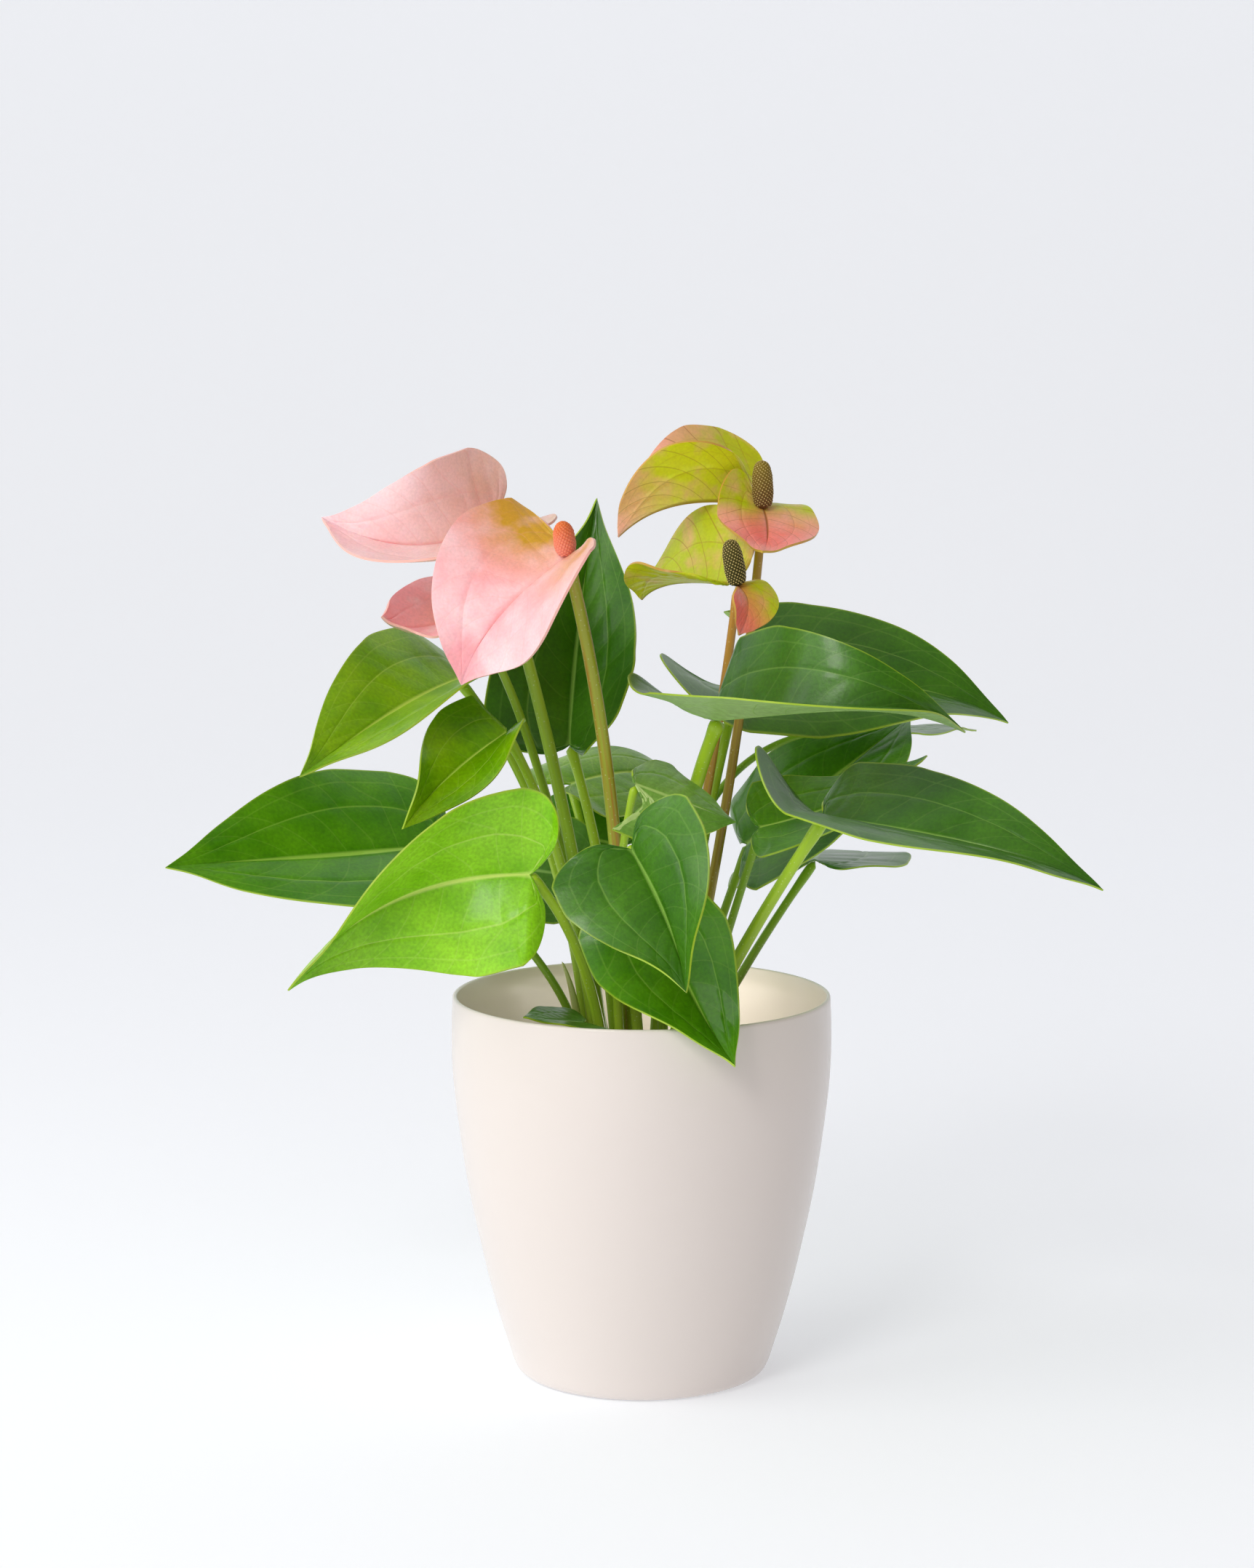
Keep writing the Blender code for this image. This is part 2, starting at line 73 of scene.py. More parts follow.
# Blades: base, tip, direction that the upper side faces, width, then in pairs (left,
# right) the lobe, the degrees of fold, the degrees of curl and the lift of the lobe;
# then mm of sag, of bend and of droop, and degrees of twist.
LEAVES = {
    "01": (
        (-62, -7, 241), (-109, -76, 216), (0.0, -0.3, 0.9), 56,
        (0.05, 0.15), (20, 25), (25, 10), (0, -5), 4, 0, -3, -20,
    ),
    "02": (
        (-45, -30, 225), (-77, -67, 198), (-0.3, -0.4, 0.9), 38,
        (0.05, 0.05), (30, 35), (0, -5), (0, -5), 0, 4, 0, -80,
    ),
    "03": (
        (-76, 10, 181), (-158, -37, 181), (0.2, -0.4, 0.9), 74,
        (0.15, 0.15), (15, 20), (-10, -10), (0, 0), -2, 0, 4, -25,
    ),
    "04": (
        (-37, -45, 180), (-114, -71, 146), (0.2, -0.9, 0.3), 66,
        (0.05, 0.10), (15, 40), (0, 0), (-5, 5), -8, 12, 4, -60,
    ),
    "05": (
        (-27, 20, 170), (-70, 32, 172), (0.0, -0.9, 0.5), 42,
        (0.20, 0.20), (10, 10), (5, -5), (0, 0), 2, 0, 2, 0,
    ),
    "06": (
        (-8, 44, 177), (-50, 54, 178), (0.0, -0.9, 0.5), 42,
        (0.20, 0.20), (-10, 10), (0, -10), (0, 0), 7, 0, 2, 0,
    ),
    "07": (
        (-3, -66, 191), (14, -106, 152), (-0.3, -0.7, 0.6), 60,
        (0.10, 0.10), (45, 30), (-20, -30), (0, 0), -5, -2, 2, 0,
    ),
    "08": (
        (5, -40, 167), (30, -80, 123), (-0.4, -0.8, 0.5), 56,
        (0.10, 0.10), (35, 25), (15, -15), (0, 0), -6, 3, 0, -40,
    ),
    "09": (
        (-25, 20, 216), (-16, 60, 300), (-0.3, -0.9, 0.4), 64,
        (0.10, 0.10), (35, 40), (0, 0), (8, 0), -4, -3, 0, 45,
    ),
    "10": (
        (-2, -46, 210), (31, -42, 197), (0.1, -0.4, 0.9), 40,
        (0.10, -0.30), (5, -30), (-10, 0), (0, 0), 2, 3, 0, 0,
    ),
    "11": (
        (-25, 44, 199), (18, 90, 190), (0.4, -0.2, 0.9), 46,
        (0.15, 0.15), (5, 5), (-40, -10), (0, 5), 5, 0, 5, 20,
    ),
    "12": (
        (25, -44, 231), (105, -54, 228), (0.0, -0.6, 0.8), 60,
        (0.10, 0.15), (35, 55), (0, -10), (-10, 10), 11, 13, 18, 10,
    ),
    "13": (
        (34, 42, 234), (131, 53, 220), (0.2, -0.2, 1.0), 80,
        (-0.10, 0.25), (25, 15), (0, -45), (0, 15), 4, 0, 9, 20,
    ),
    "14": (
        (37, 20, 181), (96, 52, 222), (-0.3, -0.4, 0.9), 68,
        (0.05, 0.05), (10, 5), (-20, 5), (-5, 0), 7, 11, 2, 15,
    ),
    "15": (
        (40, -19, 192), (97, -6, 215), (-0.2, -0.5, 0.9), 44,
        (0.05, 0.05), (5, 15), (5, -10), (0, 0), 0, 5, 0, -15,
    ),
    "16": (
        (60, -45, 199), (148, -72, 179), (0.1, -0.3, 1.0), 60,
        (0.05, 0.17), (15, 30), (10, -20), (0, 17), 2, 4, 9, 20,
    ),
    "17": (
        (61, 30, 174), (76, 92, 162), (-0.3, 0.2, 0.9), 66,
        (0.20, 0.20), (10, -20), (-15, 0), (0, 0), 4, 0, 3, 5,
    ),
    "18": (
        (78, 66, 216), (124, 94, 213), (0.1, 0.0, 1.0), 40,
        (0.20, 0.20), (0, 5), (-15, -5), (0, 0), 0, 0, 2, 0,
    ),
    "19": (
        (-20, -28, 127), (-39, -49, 133), (0.3, 0.0, 0.9), 24,
        (0.20, 0.20), (5, 5), (0, 0), (0, 0), 0, 0, 0, 0,
    ),
}
SPATHES = {
    "1": (
        (-51, -12, 292), (-107, -15, 296), (0.1, -0.8, 0.5), 58,
        (0.20, 0.15), (35, 35), (35, 15), (0, 0), 5, -11, 0, -5,
    ),
    "2": (
        (-24, -58, 285), (-58, -60, 244), (-0.6, -0.6, 0.5), 70,
        (0.10, 0.05), (30, 10), (5, 5), (0, 0), 4, 0, 4, -50,
    ),
    "3": (
        (-58, -12, 263), (-86, -30, 264), (0.3, -0.4, 0.9), 40,
        (0.20, 0.20), (20, 15), (25, 0), (0, 0), -4, 3, -6, -10,
    ),
    "4_main": (
        (39, 15, 299), (-8, -4, 289), (-0.2, 0.0, 1.0), 70,
        (0.20, 0.20), (60, 55), (-40, 10), (0, 0), 2, -6, 10, 25,
    ),
    "4_second": (
        (41, -1, 298), (40, -25, 285), (0.2, -0.5, 0.9), 36,
        (0.35, 0.35), (0, 15), (0, 0), (-5, 5), 0, -2, -4, 20,
    ),
    "5_main": (
        (29, -6, 273), (0, 26, 266), (-0.3, -0.1, 0.9), 54,
        (0.10, 0.15), (25, 55), (30, 10), (0, 0), 3, -2, 3, 10,
    ),
    "5_second": (
        (32, -20, 273), (32, -33, 258), (0.4, -0.7, 0.6), 24,
        (0.25, 0.10), (5, 30), (-5, 10), (-2, 0), 4, -2, -2, 5,
    ),
}

# Stems: foot on the crown (x, y), control point of the curve, radius at the foot and at
# the top. The top is the base of the blade.
PETIOLES = {
    "01": ((-17, -7), (-21, -16, 195), 2.1, 1.6),
    "02": ((-14, -12), (-20, -16, 180), 2.0, 1.5),
    "03": ((-20, -2), (-14, -15, 138), 1.5, 1.3),
    "04": ((-11, -17), (-14, -24, 152), 2.0, 1.6),
    "05": ((-17, 4), (-18, 7, 150), 1.5, 1.2),
    "06": ((-2, 13), (-3, 62, 140), 1.6, 1.3),
    "07": ((1, -17), (-7, -19, 186), 2.0, 1.6),
    "08": ((7, -17), (8, -22, 150), 1.8, 1.5),
    "09": ((-5, 3), (-9, 8, 165), 2.0, 1.7),
    "10": ((-5, -17), (-13, -27, 165), 1.8, 1.2),
    "11": ((-8, 8), (-11, 14, 150), 1.7, 1.4),
    "12": ((4, -12), (9, -14, 190), 2.5, 2.2),
    "13": ((10, 8), (16, 20, 170), 2.2, 1.8),
    "14": ((10, -2), (20, -2, 140), 1.7, 1.4),
    "15": ((13, -7), (24, -14, 140), 1.6, 1.3),
    "16": ((10, -12), (22, -38, 140), 2.3, 1.9),
    "17": ((13, 3), (26, 6, 128), 1.7, 1.4),
    "18": ((4, 8), (4, 54, 222), 1.6, 1.2),
    "19": ((-7, -22), (-12, -24, 115), 1.2, 0.9),
}
PEDUNCLES = {
    "1": ((-11, -7), (-22, -10, 200), 2.4, 1.9, "1"),
    "2": ((-5, -12), (-5, -22, 205), 2.4, 2.0, "2"),
    "3": ((-8, -2), (-36, 4, 235), 1.7, 1.4, "3"),
    "4": ((9, 3), (34, 5, 205), 1.8, 1.5, "4_second"),
    "5": ((1, -7), (24, -4, 200), 1.7, 1.4, "5_second"),
}
STEM_FOOT = 96.5

# Spadices: the spathe each stands on, the way it points, length, greatest radius.
SPADICES = {
    "1": ("1", (0.35, -0.60, 0.55), 12.0, 3.2),
    "2": ("2", (-0.05, -0.10, 1.0), 9.0, 3.5),
    "3": ("3", (0.45, -0.45, 0.75), 12.0, 2.8),
    "4": ("4_second", (-0.08, 0.05, 1.0), 14.0, 3.5),
    "5": ("5_second", (-0.3, -0.15, 1.0), 13.5, 3.4),
}
SPADIX_LIFT = 3.2

SHEATH = ((-20, -13), (-20, -15, 130), (-27, -17, 146), 1.9)

# Cover pot: outer radius and height from the rim down, wall and floor.
POT_OUTER = [
    (64.6, 131.8), (65.1, 130.6), (65.4, 122.0), (65.4, 112.0), (64.8, 101.0),
    (63.3, 88.0), (61.4, 74.0), (59.0, 60.0), (56.0, 46.0), (52.8, 32.0),
    (49.3, 19.0), (46.2, 9.0), (44.6, 4.0), (43.0, 1.2), (40.4, 0.0),
]
POT_WALL = 1.6
POT_FLOOR = 3.0
MIX_TOP = 88.0
CROWN_TOP = 96.0
CROWN_RADIUS = 25.0
CROWN_CENTRE = (-2.0, -5.0)

# Blades: rows and columns of the mesh, and the real thickness of a leaf and a spathe.
BLADE_ROWS = 110
BLADE_COLUMNS = 64
LEAF_THICK = 0.6
SPATHE_THICK = 0.8

# Which leaf has which finish, from the light green of new leaves to the deep green of old.
LEAF_FINISH = {
    "01": "light", "02": "light", "03": "full", "04": "new", "05": "blue", "06": "full",
    "07": "deep", "08": "full", "09": "deep", "10": "pale", "11": "light", "12": "deep",
    "13": "deep", "14": "full", "15": "full", "16": "deep", "17": "blue", "18": "blue",
    "19": "blue",
}
# Each finish: blade, lighter patches, veins, underside. The underside is the leaf's own paler green,
# brightened with painted light: the glow of light shining through the leaf.
LEAF_COLOURS = {
    "new": ("#7CC008", "#9ADA28", "#DCF080", "#A4CC5C"),
    "light": ("#68A000", "#8CBC02", "#CCE868", "#A0C85C"),
    "full": ("#3E7C00", "#589600", "#A8D058", "#96C05C"),
    "deep": ("#326A00", "#468004", "#94C058", "#A0C474"),
    "blue": ("#407616", "#5A9030", "#9CC46C", "#9CBC74"),
    "pale": ("#649434", "#88B254", "#B0CC78", "#ACC878"),
}

# Spathe tints, as soft spots on the blade: part of the length from the attachment, part
# of the half width (left is negative), radius of the spot, strength.
GREEN_SPOTS = {
    "1": [(-0.1, -0.7, 0.5, 0.35), (-0.1, 0.7, 0.4, 0.25)],
    "2": [(-0.08, 0.5, 0.3, 0.9), (0.0, 0.85, 0.25, 0.6), (-0.08, -0.5, 0.25, 0.6)],
    "3": [(0.0, 0.0, 0.4, 0.3)],
    "4_main": [(0.35, -0.4, 0.42, 1.5), (0.0, 0.6, 0.32, 1.2)],
    "4_second": [(-0.3, -0.8, 0.42, 1.5), (-0.25, 0.85, 0.42, 1.4)],
    "5_main": [(0.4, -0.4, 0.6, 1.3), (0.35, 0.6, 0.5, 1.3), (0.8, 0.1, 0.4, 1.0)],
    "5_second": [(0.2, -1.0, 0.5, 1.3), (0.0, 1.0, 0.35, 0.6)],
}
BLUSH_SPOTS = {
    "1": [(0.9, 0.0, 0.5, 0.3), (0.4, 0.9, 0.5, 0.1)],
    "2": [(1.0, 0.0, 0.2, 1.6), (0.2, 1.0, 0.5, 0.6), (0.3, -0.2, 0.7, 0.6)],
    "3": [(0.5, 0.0, 0.9, 1.3)],
    "4_main": [(0.6, -0.2, 0.4, 0.5)],
    "4_second": [(0.5, 0.0, 0.6, 0.8)],
    "5_main": [(0.0, 0.1, 0.3, 0.9)],
    "5_second": [(0.5, 0.1, 0.7, 1.2)],
}


# ---------------------------------------------------------------- shapes


def unit(vector):
    """The vectors along the last axis, each at length one."""
    return vector / np.linalg.norm(vector, axis=-1, keepdims=True)


def outline(edge, lobe, place):
    """Points of the half outline at each place, 0 to 1, with a lobe length for each."""
    points = np.array(edge)
    points = np.vstack([2 * points[0] - points[1], points, 2 * points[-1] - points[-2]])
    position = place * (len(edge) - 1)
    start = np.minimum(position.astype(int), len(edge) - 2)
    part = (position - start)[..., None]
    p0, p1, p2, p3 = (points[start + step] for step in range(4))
    smooth = 0.5 * (
        2 * p1
        + (p2 - p0) * part
        + (2 * p0 - 5 * p1 + 4 * p2 - p3) * part**2
        + (3 * p1 - p0 - 3 * p2 + p3) * part**3
    )
    along = np.where(smooth[..., 0] < 0, smooth[..., 0] * lobe, smooth[..., 0])
    return along, smooth[..., 1]


def pick(side, pair):
    """The left or the right value of a pair, by the sign of side."""
    return np.where(side < 0, pair[0], pair[1])


def two_sided(edges, lobe, place, side):
    """The half outlines of both sides, from a pair of edges."""
    left, right = (outline(edge, lobe, place) for edge in edges)
    return pick(side, (left[0], right[0])), pick(side, (left[1], right[1]))


def flat_place(row, edges, place, across):
    """Where a point of the blade lies on the flat blade: parts of length and half width."""
    side, share = np.sign(across), np.abs(across)
    edge_x, edge_y = two_sided(edges, pick(side, row[4]), place, side)
    spine = np.clip((place - 0.30) / 0.70, 0, 1) ** 1.15
    return spine + (edge_x - spine) * share, edge_y * share


def relief(place, share, seed):
    """Millimetres that the surface stands off its smooth form: veins, quilting, edge waves."""
    midrib = -0.45 * np.exp(-((share / 0.035) ** 2)) * np.clip(place * 3 - 0.9, 0, 1)
    slant = (place - 0.17 * share) * 13
    quilt = 0.22 * np.abs(np.sin(math.pi * slant)) * np.sin(math.pi * share) ** 0.8
    arcs = -0.25 * np.exp(-(((share - 0.52) / 0.03) ** 2))
    waves = 0.9 * share**4 * np.sin(2 * math.pi * (3.2 * place + seed))
    ends = np.clip(np.minimum(place / 0.12, (1 - place) / 0.2), 0, 1)
    return (midrib + quilt + arcs + waves) * ends


def blade_points(row, edges, place, across, seed=None):
    """The blade's surface: place runs 0 to 1 from base to tip, across -1 to 1."""
    base, tip, face, width, lobes, folds, curls, lifts, sag, bend, droop, twist = row
    base, tip, face = np.array(base, float), np.array(tip, float), np.array(face, float)
    length = np.linalg.norm(tip - base)
    chord = (tip - base) / length
    up = unit(face - chord * (face @ chord))
    right = np.cross(chord, up)
    side, share = np.sign(across), np.abs(across)
    x, y = flat_place(row, edges, place, across)
    y = y * width / 2
    ahead, behind = np.maximum(x, 0), np.minimum(x, 0)
    rise = sag * 4 * (1 - 2 * ahead) - droop * (4 * ahead**3 - 1)
    swing = bend * 4 * (1 - 2 * ahead)
    height = sag * 4 * ahead * (1 - ahead) - droop * (ahead**4 - ahead) + behind * rise
    sideways = bend * 4 * ahead * (1 - ahead) + behind * swing
    point = base + chord * (x * length)[..., None]
    point = point + up * height[..., None] + right * sideways[..., None]
    along = unit(chord * length + up * rise[..., None] + right * swing[..., None])
    turn = np.radians(twist) * x
    normal = up * np.cos(turn)[..., None] + right * np.sin(turn)[..., None]
    normal = unit(normal - along * (normal * along).sum(-1, keepdims=True))
    lateral = np.cross(along, normal)
    bow = np.radians(pick(side, curls)) / (width / 2) * y / 2
    angle = np.radians(pick(side, folds)) + bow
    reach = y * np.sinc(bow / np.pi)
    raised = pick(side, lifts) * (behind / pick(side, lobes)) ** 2
    point = point + lateral * (side * reach * np.cos(angle))[..., None]
    point = point + normal * (reach * np.sin(angle) + raised)[..., None]
    if seed is None:
        return point
    lean = angle + bow
    outward = normal * np.cos(lean)[..., None] - lateral * (side * np.sin(lean))[..., None]
    return point + outward * (relief(place, share, seed) * min(1.0, width / 50))[..., None]


def upper_direction(row):
    """The direction that the blade's upper side faces at its base."""
    base, tip, face = (np.array(part, float) for part in row[:3])
    chord = unit(tip - base)
    rise = 4 * row[8] + row[10]
    up = unit(face - chord * (face @ chord))
    return unit(up * np.linalg.norm(tip - base) - chord * rise)


def bend_through(foot, control, top, part):
    """Points of a quadratic Bezier curve at each part of its way."""
    part = part[:, None]
    foot, control, top = (np.array(point, float) for point in (foot, control, top))
    return (1 - part) ** 2 * foot + 2 * part * (1 - part) * control + part**2 * top


def grid_mesh(name, rows, columns, shape, closed):
    """A grid moved to shape(u, v) in mm. Its UV map keeps u and v, each from 0 to 1."""
    work = bmesh.new()
    bmesh.ops.create_grid(work, x_segments=rows, y_segments=columns, size=0.5)
    flat = np.array([vertex.co[:2] for vertex in work.verts]) + 0.5
    layer = work.loops.layers.uv.new("Surface")
    for face in work.faces:
        face.smooth = True
        for loop in face.loops:
            loop[layer].uv = (loop.vert.co.x + 0.5, loop.vert.co.y + 0.5)
    for vertex, point in zip(work.verts, shape(flat[:, 0], flat[:, 1]) * MM):
        vertex.co = point
    bmesh.ops.remove_doubles(work, verts=work.verts, dist=0.003 * MM)
    if not closed or work.calc_volume(signed=True) < 0:
        bmesh.ops.reverse_faces(work, faces=work.faces)
    mesh = bpy.data.meshes.new(name)
    work.to_mesh(mesh)
    work.free()
    return mesh


def add_object(name, mesh, materials):
    """A new object of the mesh, with its materials."""
    for finish in materials:
        mesh.materials.append(finish)
    obj = bpy.data.objects.new(name, mesh)
    bpy.context.scene.collection.objects.link(obj)
    return obj


def applied(obj):
    """The object with its modifiers turned into its mesh."""
    bpy.context.view_layer.update()
    graph = bpy.context.evaluated_depsgraph_get()
    mesh = bpy.data.meshes.new_from_object(obj.evaluated_get(graph))
    mesh.name = obj.name
    obj.modifiers.clear()
    obj.data = mesh
    return obj


def hand_over(obj, slot, *nodes):
    """Fastens a finished piece to the frame in place of the CAD nodes, which it hides. The slot is
    not used.
    """
    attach(obj, "root")
    if nodes:
        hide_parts(*nodes)


def tube_shape(line, radii, ridges=0.0):
    """A function that wraps a grid round the line. The radii may be zero at its ends."""
    ahead = unit(np.gradient(line, axis=0))
    side = unit(np.cross(ahead[0], (0.3, 0.9, 0.1)))
    frames = []
    for direction in ahead:
        side = unit(side - direction * (side @ direction))
        frames.append((side, np.cross(direction, side)))
    frames = np.array(frames)

    def shape(u, v):
        at = np.rint(u * (len(line) - 1)).astype(int)
        turn = 2 * math.pi * v
        radius = radii[at] * (1 + ridges * np.cos(5 * turn))
        across = frames[at, 0] * np.cos(turn)[:, None] + frames[at, 1] * np.sin(turn)[:, None]
        return line[at] + across * radius[:, None]

    return shape


def rounded_ends(part, length, radii, roundness=1.0):
    """The radii, brought to zero over a round cap at each end."""
    from_end = np.minimum(part, 1 - part) * length
    cap = np.clip(from_end / (radii * roundness + 1e-9), 0, 1)
    return radii * np.sqrt(1 - (1 - cap) ** 2)


# ---------------------------------------------------------------- materials


def colour(code):
    """An sRGB hex colour as linear red, green, blue and alpha."""
    parts = [int(code[place : place + 2], 16) / 255 for place in (1, 3, 5)]
    linear = [p / 12.92 if p <= 0.04045 else ((p + 0.055) / 1.055) ** 2.4 for p in parts]
    return (*linear, 1.0)


def add(tree, kind, inputs, **settings):
    """Adds a node with its settings. Each input takes a value or another node's output."""
    made = tree.nodes.new(kind)
    for name, value in settings.items():
        setattr(made, name, value)
    for socket, value in inputs.items():
        if isinstance(value, bpy.types.NodeSocket):
            tree.links.new(value, made.inputs[socket])
        else:
            made.inputs[socket].default_value = value
    return made


def new_material(name, **constants):
    """A material with a Principled shader, whose constant sockets are set."""
    made = bpy.data.materials.new(name)
    made.use_nodes = True
    shader = made.node_tree.nodes["Principled BSDF"]
    for socket, value in constants.items():
        shader.inputs[socket.replace("_", " ")].default_value = value
    return made, made.node_tree, shader


def maths(tree, operation, *values, **settings):
    """A Math node with its inputs in order."""
    inputs = dict(enumerate(values))
    return add(tree, "ShaderNodeMath", inputs, operation=operation, **settings)


def ramp(tree, value, *limits, **settings):
    """A Map Range node. The limits are from low, from high, to low, to high."""
    return add(tree, "ShaderNodeMapRange", dict(enumerate((value, *limits))), **settings)


def blend(tree, share, first, second):
    """A Mix node for two colours, which gives its result at outputs[2]."""
    return add(tree, "ShaderNodeMix", {0: share, 6: first, 7: second}, data_type="RGBA")


def object_place(tree):
    """The place in the object's own axes, in metres."""
    return add(tree, "ShaderNodeTexCoord", {}).outputs["Object"]


def noise(tree, place, scale, *detail):
    """A Noise Texture node: its number of waves in a metre and, where given, its layers."""
    inputs = dict(zip(("Vector", "Scale", "Detail"), (place, scale, *detail)))
    return add(tree, "ShaderNodeTexNoise", inputs)


def bumps(tree, strength, distance, height):
    """A Bump node."""
    inputs = {"Strength": strength, "Distance": distance, "Height": height}
    return add(tree, "ShaderNodeBump", inputs)


def surface_coordinates(tree):
    """A blade's UV map as two outputs: place from base to tip, share from midrib to margin."""
    surface = add(tree, "ShaderNodeUVMap", {}, uv_map="Surface")
    parts = add(tree, "ShaderNodeSeparateXYZ", {0: surface.outputs[0]})
    across = maths(tree, "MULTIPLY_ADD", parts.outputs[1], 2.0, -1.0)
    share = maths(tree, "ABSOLUTE", across.outputs[0])
    return parts.outputs[0], share.outputs[0]


def line_mask(tree, distance, half_width):
    """One on a line and zero beyond twice its half width, from a distance output."""
    mask = ramp(
        tree, distance, half_width * 0.4, half_width * 2, 1.0, 0.0, interpolation_type="SMOOTHSTEP"
    )
    return mask.outputs[0]


def veins(tree, place, share):
    """(main, fine) vein masks: midrib, two arcs each side and rays in the lobe; side veins."""
    main = line_mask(tree, share, 0.024)
    for arc, weight in ((0.52, 0.35), (0.82, 0.15)):
        off = maths(tree, "SUBTRACT", share, arc)
        distance = maths(tree, "ABSOLUTE", off.outputs[0])
        mask = line_mask(tree, distance.outputs[0], 0.008)
        mask = maths(tree, "MULTIPLY", mask, weight)
        main = maths(tree, "MAXIMUM", main, mask.outputs[0]).outputs[0]
    for ray in (0.13, 0.25):
        off = maths(tree, "SUBTRACT", place, ray)
        away = maths(tree, "ABSOLUTE", off.outputs[0])
        distance = maths(tree, "MULTIPLY", away.outputs[0], share)
        mask = line_mask(tree, distance.outputs[0], 0.003)
        fade = ramp(tree, share, 0.1, 0.85, 0.7, 0.0)
        mask = maths(tree, "MULTIPLY", mask, fade.outputs[0])
        main = maths(tree, "MAXIMUM", main, mask.outputs[0]).outputs[0]
    slant = maths(tree, "MULTIPLY_ADD", share, -0.17, place)
    count = maths(tree, "MULTIPLY", slant.outputs[0], 13.0)
    distance = maths(tree, "PINGPONG", count.outputs[0], 0.5)
    fine = line_mask(tree, distance.outputs[0], 0.02)
    fade = ramp(tree, place, 0.30, 0.40, 0.0, 0.6)
    fine = maths(tree, "MULTIPLY", fine, fade.outputs[0]).outputs[0]
    return main, fine


def leaf_blade(name, blade, patches, vein, index):
    """Upper side of an anthurium leaf: a waxy cuticle, so a clear gloss over fine pale veins."""
    made, tree, shader = new_material(name, IOR=index, Coat_Weight=0.12, Coat_Roughness=0.16)
    place, share = surface_coordinates(tree)
    main, fine = veins(tree, place, share)
    spot = object_place(tree)
    # Patches about 20 mm across, and cells of the blade drawn 1 mm across so that they show.
    patch = noise(tree, spot, 50.0, 3.0)
    cells = noise(tree, spot, 900.0, 2.0)
    shift = ramp(tree, patch.outputs[0], 0.35, 0.7)
    base = blend(tree, shift.outputs[0], colour(blade), colour(patches))
    grain = ramp(tree, cells.outputs[0], 0.3, 0.7, 0.85, 1.12)
    base = add(
        tree, "ShaderNodeVectorMath",
        {0: base.outputs[2], 1: grain.outputs[0]},
        operation="MULTIPLY",
    )
    faint = maths(tree, "MULTIPLY", fine, 0.18)
    strong = maths(tree, "MULTIPLY", main, 0.85)
    both = maths(tree, "MAXIMUM", strong.outputs[0], faint.outputs[0])
    veined = blend(tree, both.outputs[0], base.outputs[0], colour(vein))
    margin = ramp(tree, share, 0.975, 0.995, 0.0, 0.6)
    edged = blend(tree, margin.outputs[0], veined.outputs[2], colour("#A4C230"))
    tree.links.new(edged.outputs[2], shader.inputs["Base Color"])
    rough = ramp(tree, patch.outputs[0], 0.3, 0.7, 0.28, 0.4)
    tree.links.new(rough.outputs[0], shader.inputs["Roughness"])
    sunk = maths(tree, "MULTIPLY_ADD", both.outputs[0], -0.3, cells.outputs[0])
    bump = bumps(tree, 0.2, 0.0003, sunk.outputs[0])
    tree.links.new(bump.outputs[0], shader.inputs["Normal"])
    return made


def leaf_underside_painted_glow(name, under_and_painted_glow, vein):
    """Underside of a leaf: paler and duller than the top, with the veins standing out. Its colour
    also holds painted light: the glow of light shining through the leaf.
    """
    made, tree, shader = new_material(name, IOR=1.42, Roughness=0.5)
    place, share = surface_coordinates(tree)
    main, fine = veins(tree, place, share)
    spot = object_place(tree)
    cells = noise(tree, spot, 500.0, 3.0)
    grain = ramp(tree, cells.outputs[0], 0.3, 0.7, 0.85, 1.1)
    # The underside colour is partly the leaf's own paler green and partly painted light shining
    # through the leaf.
    base = add(
        tree, "ShaderNodeVectorMath",
        {0: colour(under_and_painted_glow)[:3], 1: grain.outputs[0]},
        operation="MULTIPLY",
    )
    both = maths(tree, "MAXIMUM", main, fine)
    amount = maths(tree, "MULTIPLY", both.outputs[0], 0.6)
    veined = blend(tree, amount.outputs[0], base.outputs[0], colour(vein))
    tree.links.new(veined.outputs[2], shader.inputs["Base Color"])
    raised = maths(tree, "ADD", both.outputs[0], cells.outputs[0])
    bump = bumps(tree, 0.4, 0.0005, raised.outputs[0])
    tree.links.new(bump.outputs[0], shader.inputs["Normal"])
    return made


def leaf_margin():
    """Cartilage-like rim of a leaf, lighter than the blade."""
    made, tree, shader = new_material("leaf_margin", IOR=1.45, Roughness=0.35)
    spot = object_place(tree)
    patch = noise(tree, spot, 150.0)
    base = blend(tree, patch.outputs[0], colour("#8CB01C"), colour("#B0CC40"))
    tree.links.new(base.outputs[2], shader.inputs["Base Color"])
    return made


